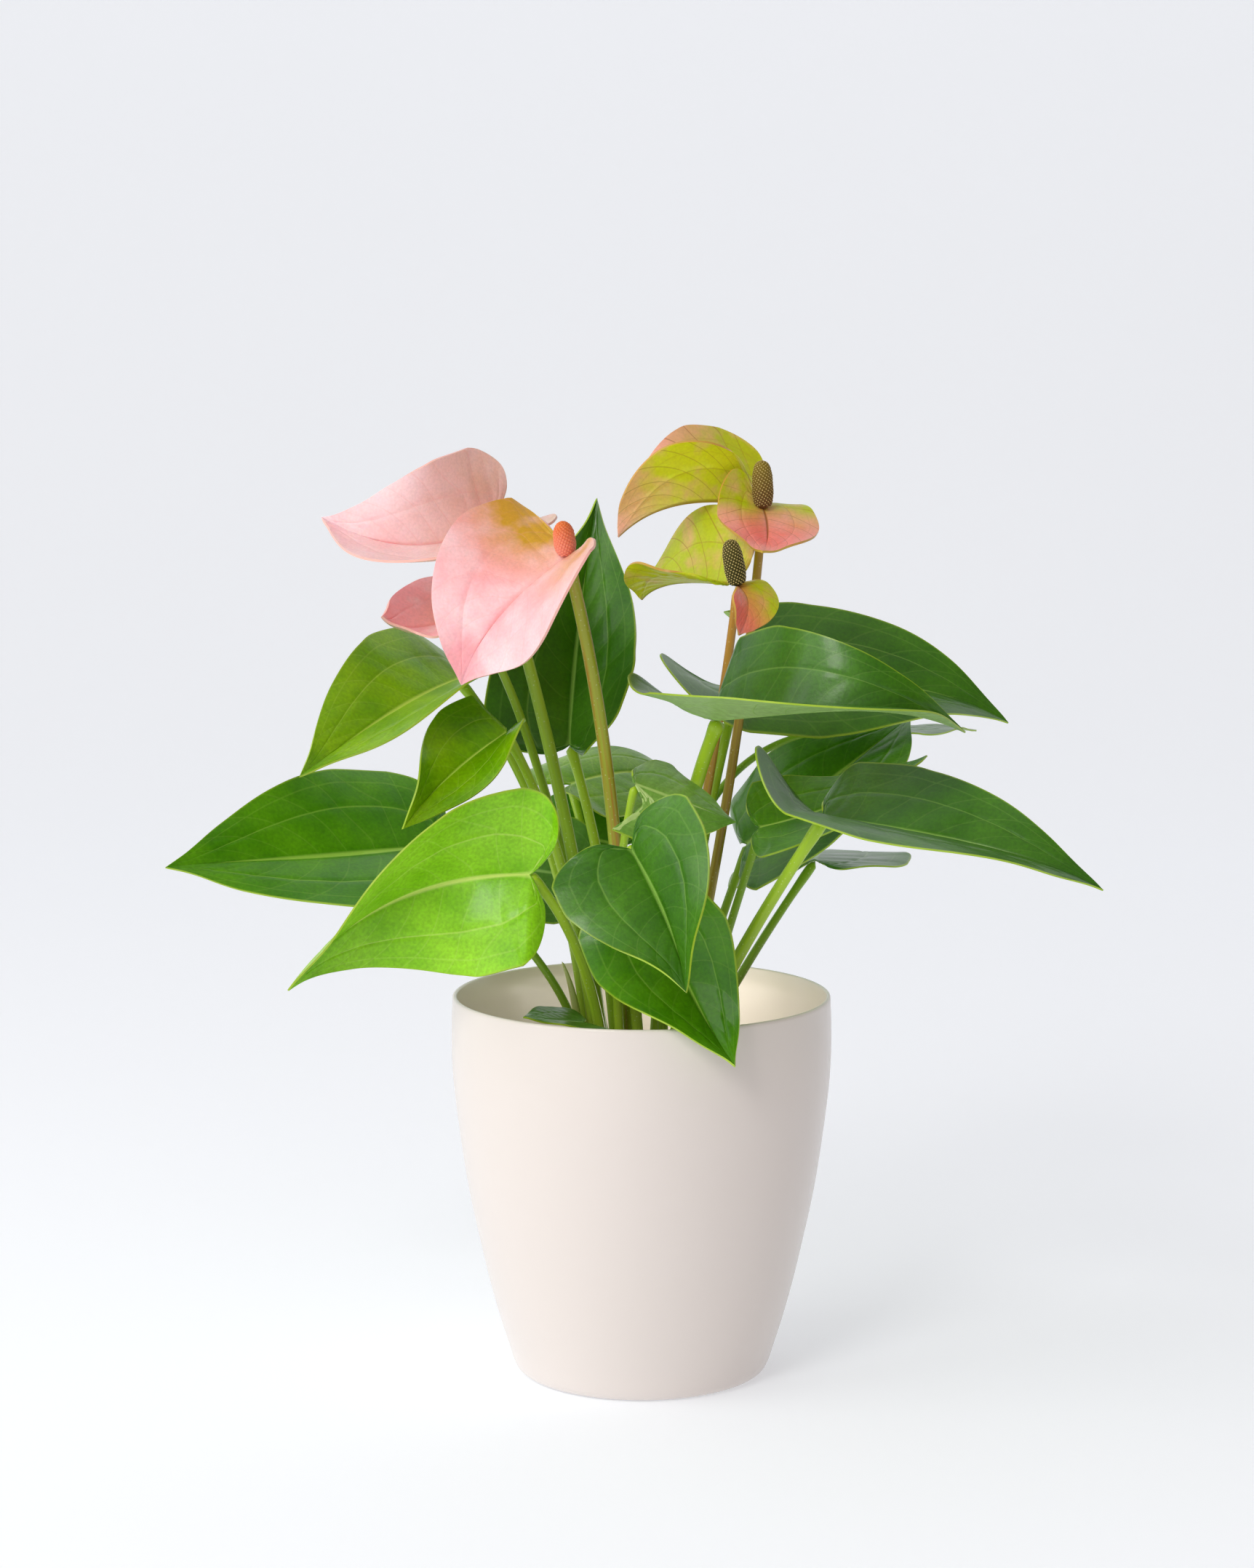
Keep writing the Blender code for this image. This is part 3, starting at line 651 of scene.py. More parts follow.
def spathe_skin(name, pink, blush, green, vein, vein_strength):
    """Waxy bract tissue that looks lacquered: pink, with green and deep pink areas, fine veins."""
    made, tree, shader = new_material(
        name, IOR=1.42, Coat_Weight=0.12, Coat_Roughness=0.3, Roughness=0.42,
        Subsurface_Weight=0.3, Subsurface_Scale=0.004,
    )
    place, share = surface_coordinates(tree)
    main, fine = veins(tree, place, share)
    spot = object_place(tree)
    patch = noise(tree, spot, 90.0, 4.0)
    cells = noise(tree, spot, 1100.0, 2.0)
    broken = ramp(tree, patch.outputs[0], 0.3, 0.7, -0.5, 0.5)
    base = colour(pink)
    for area, tint in (("Blush", blush), ("Green", green)):
        amount = add(tree, "ShaderNodeAttribute", {}, attribute_name=area)
        uneven = maths(tree, "MULTIPLY", broken.outputs[0], amount.outputs["Fac"])
        total = maths(tree, "ADD", uneven.outputs[0], amount.outputs["Fac"], use_clamp=True)
        base = blend(tree, total.outputs[0], base, colour(tint)).outputs[2]
    grain = ramp(tree, cells.outputs[0], 0.3, 0.7, 0.93, 1.05)
    base = add(
        tree, "ShaderNodeVectorMath",
        {0: base, 1: grain.outputs[0]},
        operation="MULTIPLY",
    ).outputs[0]
    both = maths(tree, "MAXIMUM", main, fine)
    amount = maths(tree, "MULTIPLY", both.outputs[0], vein_strength)
    base = blend(tree, amount.outputs[0], base, colour(vein))
    tree.links.new(base.outputs[2], shader.inputs["Base Color"])
    sunk = maths(tree, "MULTIPLY_ADD", both.outputs[0], -0.3, cells.outputs[0])
    bump = bumps(tree, 0.2, 0.0004, sunk.outputs[0])
    tree.links.new(bump.outputs[0], shader.inputs["Normal"])
    return made


def stem_skin(name, low, high, streak, streaks):
    """Smooth, slightly glossy stem, with lengthwise streaks and pale breathing pores."""
    made, tree, shader = new_material(
        name, IOR=1.45, Roughness=0.38, Coat_Weight=0.1, Coat_Roughness=0.3
    )
    way = add(tree, "ShaderNodeUVMap", {}, uv_map="Surface")
    parts = add(tree, "ShaderNodeSeparateXYZ", {0: way.outputs[0]})
    spot = object_place(tree)
    base = blend(tree, parts.outputs[0], colour(low), colour(high))
    drawn = add(tree, "ShaderNodeMapping", {"Vector": way.outputs[0], "Scale": (3.0, 9.0, 1.0)})
    lines = noise(tree, drawn.outputs[0], 1.0, 3.0)
    amount = ramp(tree, lines.outputs[0], 0.45, 0.75, 0.0, streaks)
    streaked = blend(tree, amount.outputs[0], base.outputs[2], colour(streak))
    pores = add(tree, "ShaderNodeTexVoronoi", {"Vector": spot, "Scale": 650.0})
    dots = ramp(tree, pores.outputs[0], 0.1, 0.2, 0.35, 0.0)
    dotted = blend(tree, dots.outputs[0], streaked.outputs[2], colour("#E2EAB0"))
    tree.links.new(dotted.outputs[2], shader.inputs["Base Color"])
    bump = bumps(tree, 0.15, 0.0003, lines.outputs[0])
    tree.links.new(bump.outputs[0], shader.inputs["Normal"])
    return made


def spadix_skin(name, low, high, rough):
    """Dull, fleshy spadix whose colour changes from its foot to its tip."""
    made, tree, shader = new_material(name, IOR=1.42, Roughness=rough)
    way = add(tree, "ShaderNodeAttribute", {}, attribute_name="Rise")
    spot = object_place(tree)
    grain = noise(tree, spot, 700.0, 2.0)
    uneven = maths(tree, "MULTIPLY_ADD", grain.outputs[0], 0.5, -0.25)
    total = maths(tree, "ADD", way.outputs["Fac"], uneven.outputs[0], use_clamp=True)
    base = blend(tree, total.outputs[0], colour(low), colour(high))
    tree.links.new(base.outputs[2], shader.inputs["Base Color"])
    bump = bumps(tree, 0.2, 0.0003, grain.outputs[0])
    tree.links.new(bump.outputs[0], shader.inputs["Normal"])
    return made


def plain_grain(name, first, second, scale, bump_depth, **constants):
    """Two close colours in a grain of the given scale, with a bump of the same grain."""
    made, tree, shader = new_material(name, **constants)
    spot = object_place(tree)
    grain = noise(tree, spot, scale, 4.0)
    base = blend(tree, grain.outputs[0], colour(first), colour(second))
    tree.links.new(base.outputs[2], shader.inputs["Base Color"])
    bump = bumps(tree, 0.3, bump_depth, grain.outputs[0])
    tree.links.new(bump.outputs[0], shader.inputs["Normal"])
    return made


# ---------------------------------------------------------------- blades


def spots_on(row, edges, place, across, spots):
    """Sum of the soft spots at each point of the blade, from 0 to 1."""
    x, y = flat_place(row, edges, place, across)
    y = y * np.sign(across)
    total = np.zeros_like(x)
    for spot_x, spot_y, radius, strength in spots:
        total += strength * np.exp(-((x - spot_x) ** 2 + (0.6 * (y - spot_y)) ** 2) / radius**2)
    return np.clip(total, 0, 1)


def make_blade(name, row, edges, thick, materials, seed, tints=None):
    """A blade with its upper side, underside and margin, each in its own material."""

    def shape(u, v):
        return blade_points(row, edges, u, 2 * v - 1, seed)

    mesh = grid_mesh(name, BLADE_ROWS, BLADE_COLUMNS, shape, closed=False)
    if tints:
        uvs = np.empty(2 * len(mesh.loops))
        mesh.uv_layers["Surface"].data.foreach_get("uv", uvs)
        uvs = uvs.reshape(-1, 2)
        for area, spots in tints.items():
            values = spots_on(row, edges, uvs[:, 0], 2 * uvs[:, 1] - 1, spots)
            mesh.attributes.new(area, "FLOAT", "CORNER").data.foreach_set("value", values)
    obj = add_object(name, mesh, materials)
    solid = obj.modifiers.new("Thickness", "SOLIDIFY")
    solid.thickness = thick * MM
    solid.offset = 0.0
    solid.material_offset = 1
    solid.material_offset_rim = 2
    applied(obj)
    obj.data.set_sharp_from_angle(angle=math.radians(50))
    return obj


def make_leaves():
    """The nineteen leaves."""
    margin = leaf_margin()
    finishes = {}
    for key, (blade, patches, vein, under_and_painted_glow) in LEAF_COLOURS.items():
        index = 1.43 if key in ("deep", "blue") else 1.33
        top = leaf_blade(f"leaf_blade_{key}", blade, patches, vein, index)
        finishes[key] = [top, leaf_underside_painted_glow(f"leaf_underside_painted_glow_{key}", under_and_painted_glow, vein), margin]
    for key, row in LEAVES.items():
        name = f"leaf_{key}"
        materials = finishes[LEAF_FINISH[key]]
        seed = int(key) * 0.37
        obj = make_blade("visual_" + name, row, (LEAF_EDGE, LEAF_EDGE), LEAF_THICK, materials, seed)
        hand_over(obj, "leaf", name)


def make_spathes():
    """The three pink spathes and the two green and pink pairs."""
    pink = spathe_skin("spathe_pink_upper", "#FFDEE0", "#FFACB2", "#CC9E20", "#F2A29C", 0.3)
    pink_back = spathe_skin("spathe_pink_back", "#FFE4E4", "#FCC6C8", "#FAE4A8", "#F2AAAA", 0.22)
    two = spathe_skin("spathe_bicolour_upper", "#FFB0A4", "#F8746A", "#BED008", "#9A5A18", 0.85)
    two_back = spathe_skin("spathe_bicolour_back", "#FFB8A4", "#F09A7C", "#D8E41A", "#94801A", 0.85)
    rim_pink = plain_grain("spathe_pink_rim", "#F0A8A0", "#F6C8B8", 200.0, 0.0002, Roughness=0.35)
    rim_two = plain_grain("spathe_bicolour_rim", "#C8B838", "#D88A50", 60.0, 0.0002, Roughness=0.35)
    for key, row in SPATHES.items():
        is_pink = key in ("1", "2", "3")
        materials = [pink, pink_back, rim_pink] if is_pink else [two, two_back, rim_two]
        tints = {"Green": GREEN_SPOTS[key], "Blush": BLUSH_SPOTS[key]}
        seed = 0.31 * len(key) + 0.11 * int(key[0])
        name = f"spathe_{key}"
        edges = HALVES.get(key, (SPATHE_EDGE, SPATHE_EDGE))
        obj = make_blade("visual_" + name, row, edges, SPATHE_THICK, materials, seed, tints)
        hand_over(obj, "spathe_pink" if is_pink else "spathe_bicolour", name)


# ---------------------------------------------------------------- stems and spadices


def make_stem(name, stem, row, material, knee):
    """A stem that widens at its foot and at the knee under the blade."""
    part = np.linspace(0, 1, 61)
    foot = (*stem[0], STEM_FOOT - 2)
    top = np.array(row[0], float) - upper_direction(row) * 0.5
    line = bend_through(foot, stem[1], top, part)
    length = np.linalg.norm(np.diff(line, axis=0), axis=1).sum()
    radii = stem[2] + (stem[3] - stem[2]) * part
    radii = radii * (1 + 0.25 * np.exp(-((part * length / 9) ** 2)))
    radii = radii * (1 + knee * np.exp(-(((1 - part) * length - 4) / 5) ** 2))
    radii = rounded_ends(part, length, radii, 0.8)
    mesh = grid_mesh(name, 60, 20, tube_shape(line, radii, 0.02), closed=True)
    return add_object(name, mesh, [material])


def make_stems():
    """Leaf stalks, flower stalks and the furled young leaf."""
    petiole = stem_skin("petiole_skin", "#96B432", "#A8CC24", "#6E9C14", 0.5)
    dark = stem_skin("petiole_skin_deep", "#86A62C", "#86B020", "#54860E", 0.5)
    for key, stem in PETIOLES.items():
        finish = dark if LEAF_FINISH[key] in ("blue", "full") else petiole
        obj = make_stem(f"visual_petiole_{key}", stem, LEAVES[key], finish, 0.22)
        hand_over(obj, "petiole", f"petiole_{key}")
    stalks = {
        "1": stem_skin("peduncle_skin_green", "#86AC22", "#A6C42C", "#6A9614", 0.4),
        "2": stem_skin("peduncle_skin_olive", "#94AA26", "#A8AC2C", "#B06A28", 1.0),
        "4": stem_skin("peduncle_skin_brown", "#9C982C", "#BC9836", "#8C5A24", 0.8),
        "5": stem_skin("peduncle_skin_orange", "#98922E", "#C89038", "#A06428", 0.7),
    }
    stalks["3"] = stalks["1"]
    for key, stem in PEDUNCLES.items():
        row = SPATHES[stem[4]]
        obj = make_stem(f"visual_peduncle_{key}", stem, row, stalks[key], 0.1)
        hand_over(obj, "peduncle", f"peduncle_{key}")
    (x, y), control, tip, radius = SHEATH
    part = np.linspace(0, 1, 41)
    line = bend_through((x, y, STEM_FOOT - 1), control, tip, part)
    radii = rounded_ends(part, 55.0, radius * (1 - 0.85 * part**2))
    mesh = grid_mesh("visual_sheath", 40, 20, tube_shape(line, radii, 0.08), closed=True)
    skin = stem_skin("sheath_skin", "#B8C07A", "#C6CC84", "#A88A4A", 0.6)
    hand_over(add_object("visual_sheath", mesh, [skin]), "sheath", "sheath")


def geometry_tree(name, wanted):
    """A Geometry Nodes tree with the wanted inputs after its geometry, and its input node."""
    tree = bpy.data.node_groups.new(name, "GeometryNodeTree")
    for title, kind in {"Geometry": "Geometry", **wanted}.items():
        tree.interface.new_socket(title, in_out="INPUT", socket_type=f"NodeSocket{kind}")
    tree.interface.new_socket("Geometry", in_out="OUTPUT", socket_type="NodeSocketGeometry")
    return tree, add(tree, "NodeGroupInput", {})


def floret_tree(name):
    """A node tree that stands a floret on each point, and a pale dot on top of each."""
    tree, given = geometry_tree(name, {
        "Floret Radius": "Float", "Dot Radius": "Float", "Skin": "Material", "Dot": "Material",
    })
    spots = add(tree, "GeometryNodeMeshToPoints", {"Mesh": given.outputs["Geometry"]})
    facing = add(
        tree, "GeometryNodeInputNamedAttribute",
        {"Name": "Facing"},
        data_type="FLOAT_VECTOR",
    )
    turn = add(tree, "FunctionNodeAlignRotationToVector", {"Vector": facing.outputs[0]}, axis="Z")
    kinds = []
    # A flattened ball for the floret, and a dot that sits on its top.
    balls = (("Floret Radius", "Skin", 0.6, 0.0), ("Dot Radius", "Dot", 0.5, 0.55))
    for radius, material, flat, lift in balls:
        ball = add(
            tree, "GeometryNodeMeshIcoSphere",
            {"Radius": given.outputs[radius], "Subdivisions": 2},
        )
        step = {0: (0.0, 0.0, lift), "Scale": given.outputs["Floret Radius"]}
        rise = add(tree, "ShaderNodeVectorMath", step, operation="SCALE")
        placed = add(
            tree, "GeometryNodeTransform",
            {
                "Geometry": ball.outputs["Mesh"],
                "Translation": rise.outputs[0],
                "Scale": (1.0, 1.0, flat),
            },
        )
        many = add(
            tree, "GeometryNodeInstanceOnPoints",
            {
                "Points": spots.outputs[0],
                "Instance": placed.outputs[0],
                "Rotation": turn.outputs[0],
            },
        )
        real = add(tree, "GeometryNodeRealizeInstances", {0: many.outputs[0]})
        finish = {"Geometry": real.outputs[0], "Material": given.outputs[material]}
        kinds.append(add(tree, "GeometryNodeSetMaterial", finish))
    both = add(tree, "GeometryNodeJoinGeometry", {})
    for kind in kinds:
        tree.links.new(kind.outputs[0], both.inputs[0])
    add(tree, "NodeGroupOutput", {"Geometry": both.outputs[0]})
    return tree


def run_tree(obj, tree, values):
    """Runs a node tree on the object with its named inputs set, and keeps the result as a mesh."""
    modifier = obj.modifiers.new(tree.name, "NODES")
    modifier.node_group = tree
    for item in tree.interface.items_tree:
        if item.in_out == "INPUT" and item.name in values:
            modifier[item.identifier] = values[item.name]
    return applied(obj)


def make_spadix(key, tree, skin, dot, dot_radius):
    """A blunt rod closed over by florets in a golden-angle spiral."""
    spathe, direction, length, radius = SPADICES[key]
    row = SPATHES[spathe]
    axis = unit(np.array(direction, float))
    base = np.array(row[0], float)
    start = base + upper_direction(row) * 0.3
    end = base + upper_direction(row) * SPADIX_LIFT + axis * length
    part = np.linspace(0, 1, 41)
    line = start + (end - start) * part[:, None]
    reach = np.linalg.norm(end - start)
    core = np.interp(part, [0.0, 0.12, 0.35, 0.7, 1.0], [0.55, 0.85, 1.0, 0.93, 0.62]) * radius
    core = rounded_ends(part, reach, core) * 0.95
    mesh = grid_mesh("visual_spadix_" + key, 40, 24, tube_shape(line, core), closed=True)
    rise = mesh.attributes.new("Rise", "FLOAT", "POINT")
    along = unit(end - start)
    heights = [((np.array(vertex.co) / MM - start) @ along) / reach for vertex in mesh.vertices]
    rise.data.foreach_set("value", heights)
    body = add_object("visual_spadix_" + key, mesh, [skin])
    count = int(FLORET_CROWDING * reach * radius)
    side = unit(np.cross(along, (0.2, 1.0, 0.1)))
    other = np.cross(along, side)
    points, facings, rises = [], [], []
    for number in range(count):
        share = (number + 0.5) / count
        at = 0.08 + 0.92 * share
        turn = number * GOLDEN_ANGLE
        outward = side * math.cos(turn) + other * math.sin(turn)
        tilt = np.clip((at - 0.86) / 0.14, 0, 1)
        facing = unit(outward * (1 - tilt) + along * tilt * 1.2)
        ring = np.interp(at * 40, range(41), core)
        points.append((start + along * at * reach + outward * ring) * MM)
        facings.append(facing)
        rises.append(at)
    dots = bpy.data.meshes.new("florets_" + key)
    dots.from_pydata(points, [], [])
    facing = dots.attributes.new("Facing", "FLOAT_VECTOR", "POINT")
    facing.data.foreach_set("vector", np.ravel(facings))
    dots.attributes.new("Rise", "FLOAT", "POINT").data.foreach_set("value", rises)
    florets = add_object("visual_florets_" + key, dots, [])
    values = {
        "Floret Radius": FLORET_RADIUS * MM, "Dot Radius": dot_radius * MM, "Skin": skin, "Dot": dot,
    }
    run_tree(florets, tree, values)
    slot = "spadix_orange" if key in "123" else "spadix_brown"
    hand_over(body, slot, f"spadix_{key}")
    hand_over(florets, slot)


def make_spadices():
    """Three open spadices in orange and pink, and two ripe ones in brown and olive."""
    tree = floret_tree("florets")
    orange = spadix_skin("spadix_flesh_orange", "#E88E80", "#E0702E", 0.5)
    brown = spadix_skin("spadix_flesh_brown", "#5E3C20", "#847018", 0.6)
    olive = spadix_skin("spadix_flesh_olive", "#3C3A0E", "#50480E", 0.6)
    pale = plain_grain("stigma_pale", "#DCC880", "#BCA45C", 900.0, 0.0001, Roughness=0.5)
    warm = plain_grain("stigma_warm", "#F0A070", "#E88A58", 900.0, 0.0001, Roughness=0.4)
    for key, skin, dot, size in (
        ("1", orange, warm, 0.16), ("2", orange, warm, 0.16), ("3", orange, warm, 0.16),
        ("4", brown, pale, 0.2), ("5", olive, pale, 0.24),
    ):
        make_spadix(key, tree, skin, dot, size)


# ---------------------------------------------------------------- pots, mix and crown


def turned(name, profile, steps, centre, material, wobble=None):
    """A smooth turned solid from a profile of (radius, height), with both ends on the axis."""
    profile = np.array(profile, float)

    def shape(u, v):
        at = np.rint(u * (len(profile) - 1)).astype(int)
        radius, height, turn = profile[at, 0], profile[at, 1], 2 * math.pi * v
        x, y = centre[0] + radius * np.cos(turn), centre[1] + radius * np.sin(turn)
        if wobble:
            height = height + wobble(radius, turn) * (height > MIX_TOP - 1)
        return np.stack([x, y, height], -1)

    mesh = grid_mesh(name, len(profile) - 1, steps, shape, closed=True)
    obj = add_object(name, mesh, [material])
    obj.data.set_sharp_from_angle(angle=math.radians(40))
    return obj


def smooth_profile(points, count):
    """Points along a smooth curve through the given ones, count to each stretch."""
    points = np.array(points, float)
    padded = np.vstack([2 * points[0] - points[1], points, 2 * points[-1] - points[-2]])
    made = []
    for start in range(len(points) - 1):
        p0, p1, p2, p3 = padded[start : start + 4]
        for part in np.linspace(0, 1, count, endpoint=False):
            made.append(
                0.5 * (2 * p1 + (p2 - p0) * part + (2 * p0 - 5 * p1 + 4 * p2 - p3) * part**2
                       + (3 * p1 - p0 - 3 * p2 + p3) * part**3)
            )
    return made + [points[-1]]


def make_cover_pot():
    """Injection-moulded polypropylene cover pot, with a rounded rim and a thin wall."""
    skin = plain_grain(
        "polypropylene_satin_white", "#E4DBD5", "#E8DFD9", 14.0, 0.00004, Roughness=0.27, IOR=1.49,
        Coat_Weight=0.15, Coat_Roughness=0.12,
    )
    outer = smooth_profile(POT_OUTER[1:], 4)
    inner = [(radius - POT_WALL, height) for radius, height in smooth_profile(POT_OUTER[2:12], 3)]
    inner += [(42.5, POT_FLOOR + 2.0), (41.0, POT_FLOOR + 0.5), (38.0, POT_FLOOR), (0.0, POT_FLOOR)]
    turn = np.linspace(0, math.pi, 9)[1:-1]
    middle = POT_OUTER[1][0] - POT_WALL / 2
    rim = [(middle - POT_WALL / 2 * math.cos(a), 131.0 + 0.9 * math.sin(a)) for a in turn]
    foot_ring = [(38.0, 0.0), (37.2, 0.8), (0.0, 0.8)]
    profile = inner[::-1] + rim + outer + foot_ring
    pot = turned("visual_cover_pot", profile, 192, (0, 0), skin)
    hand_over(pot, "cover_pot", "cover_pot")


def make_nursery_pot():
    """Thin black nursery pot with a rolled rim."""
    skin = plain_grain(
        "polypropylene_black", "#15130F", "#201D18", 300.0, 0.0002, Roughness=0.45, IOR=1.49
    )
    inner = [(0.0, 4.6), (36.8, 4.6), (51.2, 94.6), (51.6, 97.6)]
    rim = [(52.2, 98.0), (53.2, 98.0), (53.6, 97.4), (53.6, 94.6)]
    outer = [(52.6, 94.2), (38.2, 4.2), (37.6, 3.4), (0.0, 3.4)]
    profile = inner + rim + outer
    pot = turned("visual_nursery_pot", profile, 128, (0, 0), skin)
    hand_over(pot, "nursery_pot", "nursery_pot")


def chip_tree(name):
    """A node tree that scatters bark chips on a surface."""
    tree, given = geometry_tree(name, {
        "Chips per Square Metre": "Float", "Chip Size": "Float", "Seed": "Int", "Bark": "Material",
    })
    spots = add(
        tree, "GeometryNodeDistributePointsOnFaces",
        {
            "Mesh": given.outputs["Geometry"],
            "Density": given.outputs["Chips per Square Metre"],
            "Seed": given.outputs["Seed"],
        },
    )
    chip = add(
        tree, "GeometryNodeMeshIcoSphere",
        {"Radius": given.outputs["Chip Size"], "Subdivisions": 2},
    )
    turn = add(
        tree, "FunctionNodeRandomValue",
        {"Min": (-0.6, -0.6, 0.0), "Max": (0.6, 0.6, 6.28), "Seed": given.outputs["Seed"]},
        data_type="FLOAT_VECTOR",
    )
    size = add(
        tree, "FunctionNodeRandomValue",
        {"Min": (0.5, 0.3, 0.15), "Max": (1.6, 0.9, 0.5), "Seed": given.outputs["Seed"]},
        data_type="FLOAT_VECTOR",
    )
    many = add(
        tree, "GeometryNodeInstanceOnPoints",
        {
            "Points": spots.outputs[0],
            "Instance": chip.outputs["Mesh"],
            "Rotation": turn.outputs[0],
            "Scale": size.outputs[0],
        },
    )
    real = add(tree, "GeometryNodeRealizeInstances", {0: many.outputs[0]})
    done = add(
        tree, "GeometryNodeSetMaterial",
        {"Geometry": real.outputs[0], "Material": given.outputs["Bark"]},
    )
    add(tree, "NodeGroupOutput", {"Geometry": done.outputs[0]})
    return tree


def make_mix():
    """Peaty potting mix with bark chips on its surface."""
    peat = plain_grain("peat", "#24170E", "#3E2A18", 400.0, 0.002, Roughness=0.95)
    bark = plain_grain("pine_bark", "#4A2C18", "#7A5230", 250.0, 0.001, Roughness=0.85)

    def wobble(radius, turn):
        return 0.9 * np.sin(radius * 0.45 + 3 * turn) + 0.7 * np.cos(radius * 0.8 - 5 * turn) - 1.0

    profile = [(0.0, 6.0), (36.0, 6.0)]
    profile += [(radius, MIX_TOP) for radius in np.linspace(50.0, 0.0, 26)]
    mix = turned("visual_potting_mix", profile, 96, (0, 0), peat, wobble)
    hand_over(mix, "potting_mix", "potting_mix")
    work = bmesh.new()
    bmesh.ops.create_circle(work, cap_ends=True, segments=48, radius=48.5 * MM)
    bmesh.ops.translate(work, verts=work.verts, vec=(0.0, 0.0, (MIX_TOP + 0.4) * MM))
    mesh = bpy.data.meshes.new("visual_bark_chips")
    work.to_mesh(mesh)
    work.free()
    chips = add_object("visual_bark_chips", mesh, [])
    values = {"Chips per Square Metre": 90000.0, "Chip Size": 2.6 * MM, "Seed": 7, "Bark": bark}
    run_tree(chips, chip_tree("bark_chips"), values)
    hand_over(chips, "potting_mix")


def make_crown():
    """The woody crown, and the papery brown scales that wrap the feet of the stems."""
    wood = plain_grain("crown_bark", "#4A3A1E", "#7A6434", 300.0, 0.001, Roughness=0.85)
    scale = stem_skin("dry_cataphyll", "#A8602C", "#C07A3C", "#7A3E1C", 0.8)
    x, y = CROWN_CENTRE
    profile = [(0.0, MIX_TOP - 1.0), (CROWN_RADIUS + 1, MIX_TOP - 1.0), (CROWN_RADIUS, MIX_TOP + 3)]
    dome = [(CROWN_RADIUS - 3, 92.5), (18.0, 94.5), (8.0, CROWN_TOP - 0.5), (0.0, CROWN_TOP)]
    profile += smooth_profile(dome, 5)
    crown = turned("visual_crown", profile, 64, (x, y), wood)
    hand_over(crown, "crown", "crown")
    stems = list(PETIOLES.values()) + list(PEDUNCLES.values())
    pieces = []
    for number, ((foot_x, foot_y), control, radius, *_) in enumerate(stems[::2]):
        part = np.linspace(0, 1, 13)
        height = 12.0 + 5.0 * math.sin(number * 2.4)
        line = bend_through((foot_x, foot_y, STEM_FOOT - 2), control, control, part * height / 170)
        opening = number * GOLDEN_ANGLE
        side = np.array((math.cos(opening), math.sin(opening), 0))
        other = np.array((-math.sin(opening), math.cos(opening), 0))

        def shape(u, v):
            at = np.rint(u * 12).astype(int)
            turn = (v - 0.5) * 4.6 * np.sqrt(1 - 0.97 * u)
            reach = radius * (1.35 + 0.25 * u)
            outward = side * (reach * np.cos(turn))[:, None]
            sideways = other * (reach * np.sin(turn))[:, None]
            return line[at] + outward + sideways

        mesh = grid_mesh(f"scale_{number}", 12, 14, shape, closed=False)
        pieces.append(add_object(f"scale_{number}", mesh, [scale]))
    work = bmesh.new()
    for piece in pieces:
        work.from_mesh(piece.data)
        bpy.data.objects.remove(piece)
    mesh = bpy.data.meshes.new("visual_crown_scales")
    work.to_mesh(mesh)
    work.free()
    scales = add_object("visual_crown_scales", mesh, [scale])
    solid = scales.modifiers.new("Thickness", "SOLIDIFY")
    solid.thickness = 0.3 * MM
    hand_over(applied(scales), "crown")


# ---------------------------------------------------------------- stage, light, camera


def make_stage():
    """Seamless pale paper: floor and backdrop in one curved sheet."""
    paper = plain_grain(
        "seamless_paper", "#D6DADF", "#D8DCE1", 3.0, 0.0, Roughness=0.9,
        Emission_Color=colour("#F4F6F9"), Emission_Strength=0.38,
    )
    bend = np.linspace(0, math.pi / 2, 17)
    path = [(-3.0, 0.0)]
    path += [(1.2 + 0.9 * math.sin(a), 0.9 - 0.9 * math.cos(a)) for a in bend]
    path += [(2.1, 4.0)]

    def shape(u, v):
        at = np.rint(u * (len(path) - 1)).astype(int)
        side = np.array(path)[at]
        return np.stack([(v - 0.5) * 9.0, side[:, 0], side[:, 1]], -1) / MM

    sweep = grid_mesh("backdrop", len(path) - 1, 4, shape, closed=False)
    sheet = add_object("backdrop", sweep, [paper])


def add_light(name, place, target, size, power, tint):
    """A square soft box at a place, facing a target."""
    light = bpy.data.lights.new(name, "AREA")
    light.size = size
    light.energy = power
    light.color = colour(tint)[:3]
    obj = bpy.data.objects.new(name, light)
    bpy.context.scene.collection.objects.link(obj)
    obj.location = place
    away = np.array(place, float) - np.array(target, float)
    flat = math.hypot(away[0], away[1])
    obj.rotation_euler = (math.atan2(flat, away[2]), 0.0, math.atan2(away[0], -away[1]))


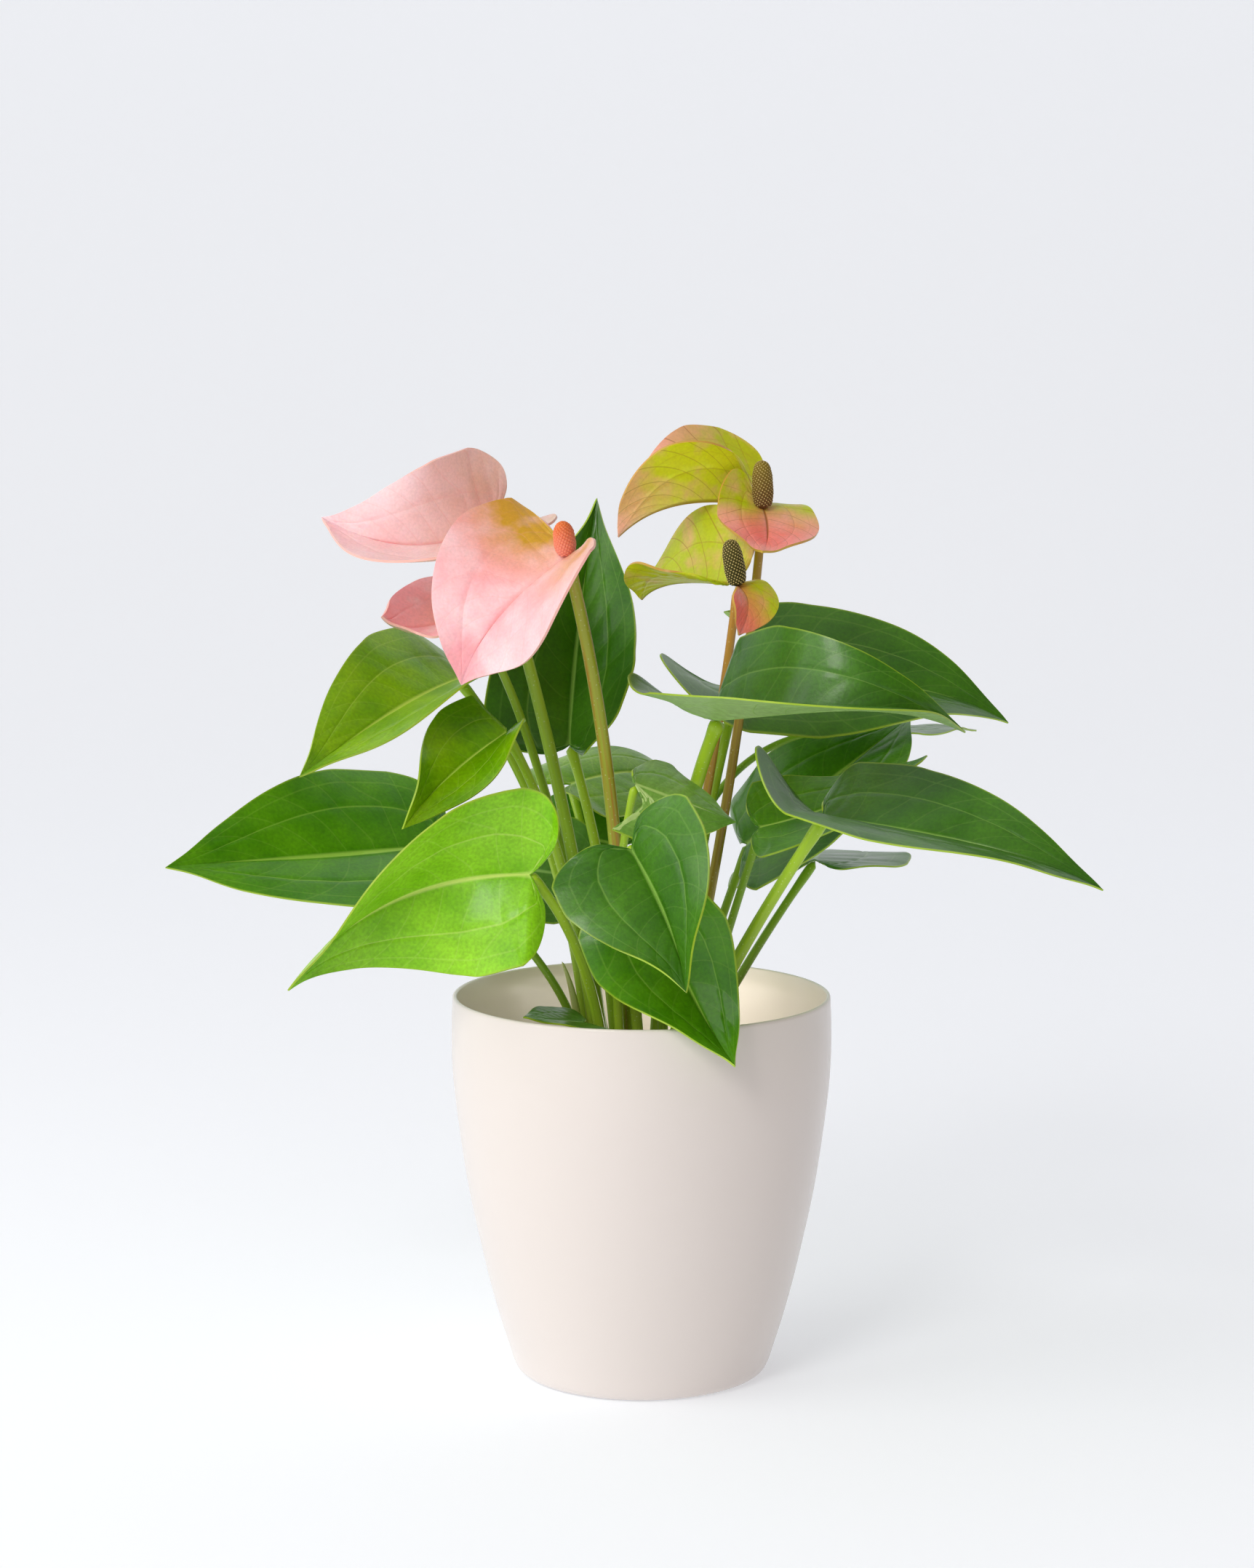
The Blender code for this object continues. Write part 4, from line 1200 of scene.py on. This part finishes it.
def make_light():
    """Soft windows on the left and above, and a pale room that darkens warmly to the right."""
    add_light("window", (-1.25, -0.45, 0.85), (0.0, 0.0, 0.16), 0.9, 5.0, "#FFFDF8")
    add_light("front_window", (-0.6, -1.25, 1.1), (0.0, 0.0, 0.16), 0.5, 8.5, "#FFFCF8")
    # The thin white wall lets light in, which a solid wall does not: a small lamp stands for it.
    glow = bpy.data.lights.new("light_through_the_wall", "POINT")
    glow.energy = 0.04
    glow.shadow_soft_size = 0.015
    glow.color = colour("#FFF6EC")[:3]
    lamp = bpy.data.objects.new("light_through_the_wall", glow)
    lamp.location = (0.012, 0.030, 0.118)
    bpy.context.scene.collection.objects.link(lamp)
    world = bpy.data.worlds.new("pale_room")
    bpy.context.scene.world = world
    world.use_nodes = True
    tree = world.node_tree
    background = tree.nodes["Background"]
    way = add(tree, "ShaderNodeTexCoord", {}).outputs["Generated"]
    parts = add(tree, "ShaderNodeSeparateXYZ", {0: way})
    share = ramp(tree, parts.outputs[0], -0.8, 0.8)
    room = blend(tree, share.outputs[0], colour("#FFFFFF"), colour("#7C6660"))
    # Seen directly, the room is plain white. Only the light that it gives has the change.
    direct = add(tree, "ShaderNodeLightPath", {}).outputs["Is Camera Ray"]
    shown = blend(tree, direct, room.outputs[2], colour("#FFFFFF"))
    tree.links.new(shown.outputs[2], background.inputs["Color"])
    background.inputs["Strength"].default_value = 0.88
    bpy.context.scene.view_settings.view_transform = "Standard"


def make_camera():
    """A long lens a little above the pot's rim, looking slightly down."""
    data = bpy.data.cameras.new("camera")
    data.lens = 74.4
    data.sensor_width = 36.0
    camera = bpy.data.objects.new("camera", data)
    bpy.context.scene.collection.objects.link(camera)
    camera.location = (0.0, -1.10, 0.339)
    camera.rotation_euler = (math.radians(90 - 6.97), 0.0, math.radians(0.26))
    bpy.context.scene.camera = camera


make_camera()
make_stage()
make_light()
make_cover_pot()
make_nursery_pot()
make_mix()
make_crown()
make_leaves()
make_spathes()
make_stems()
make_spadices()
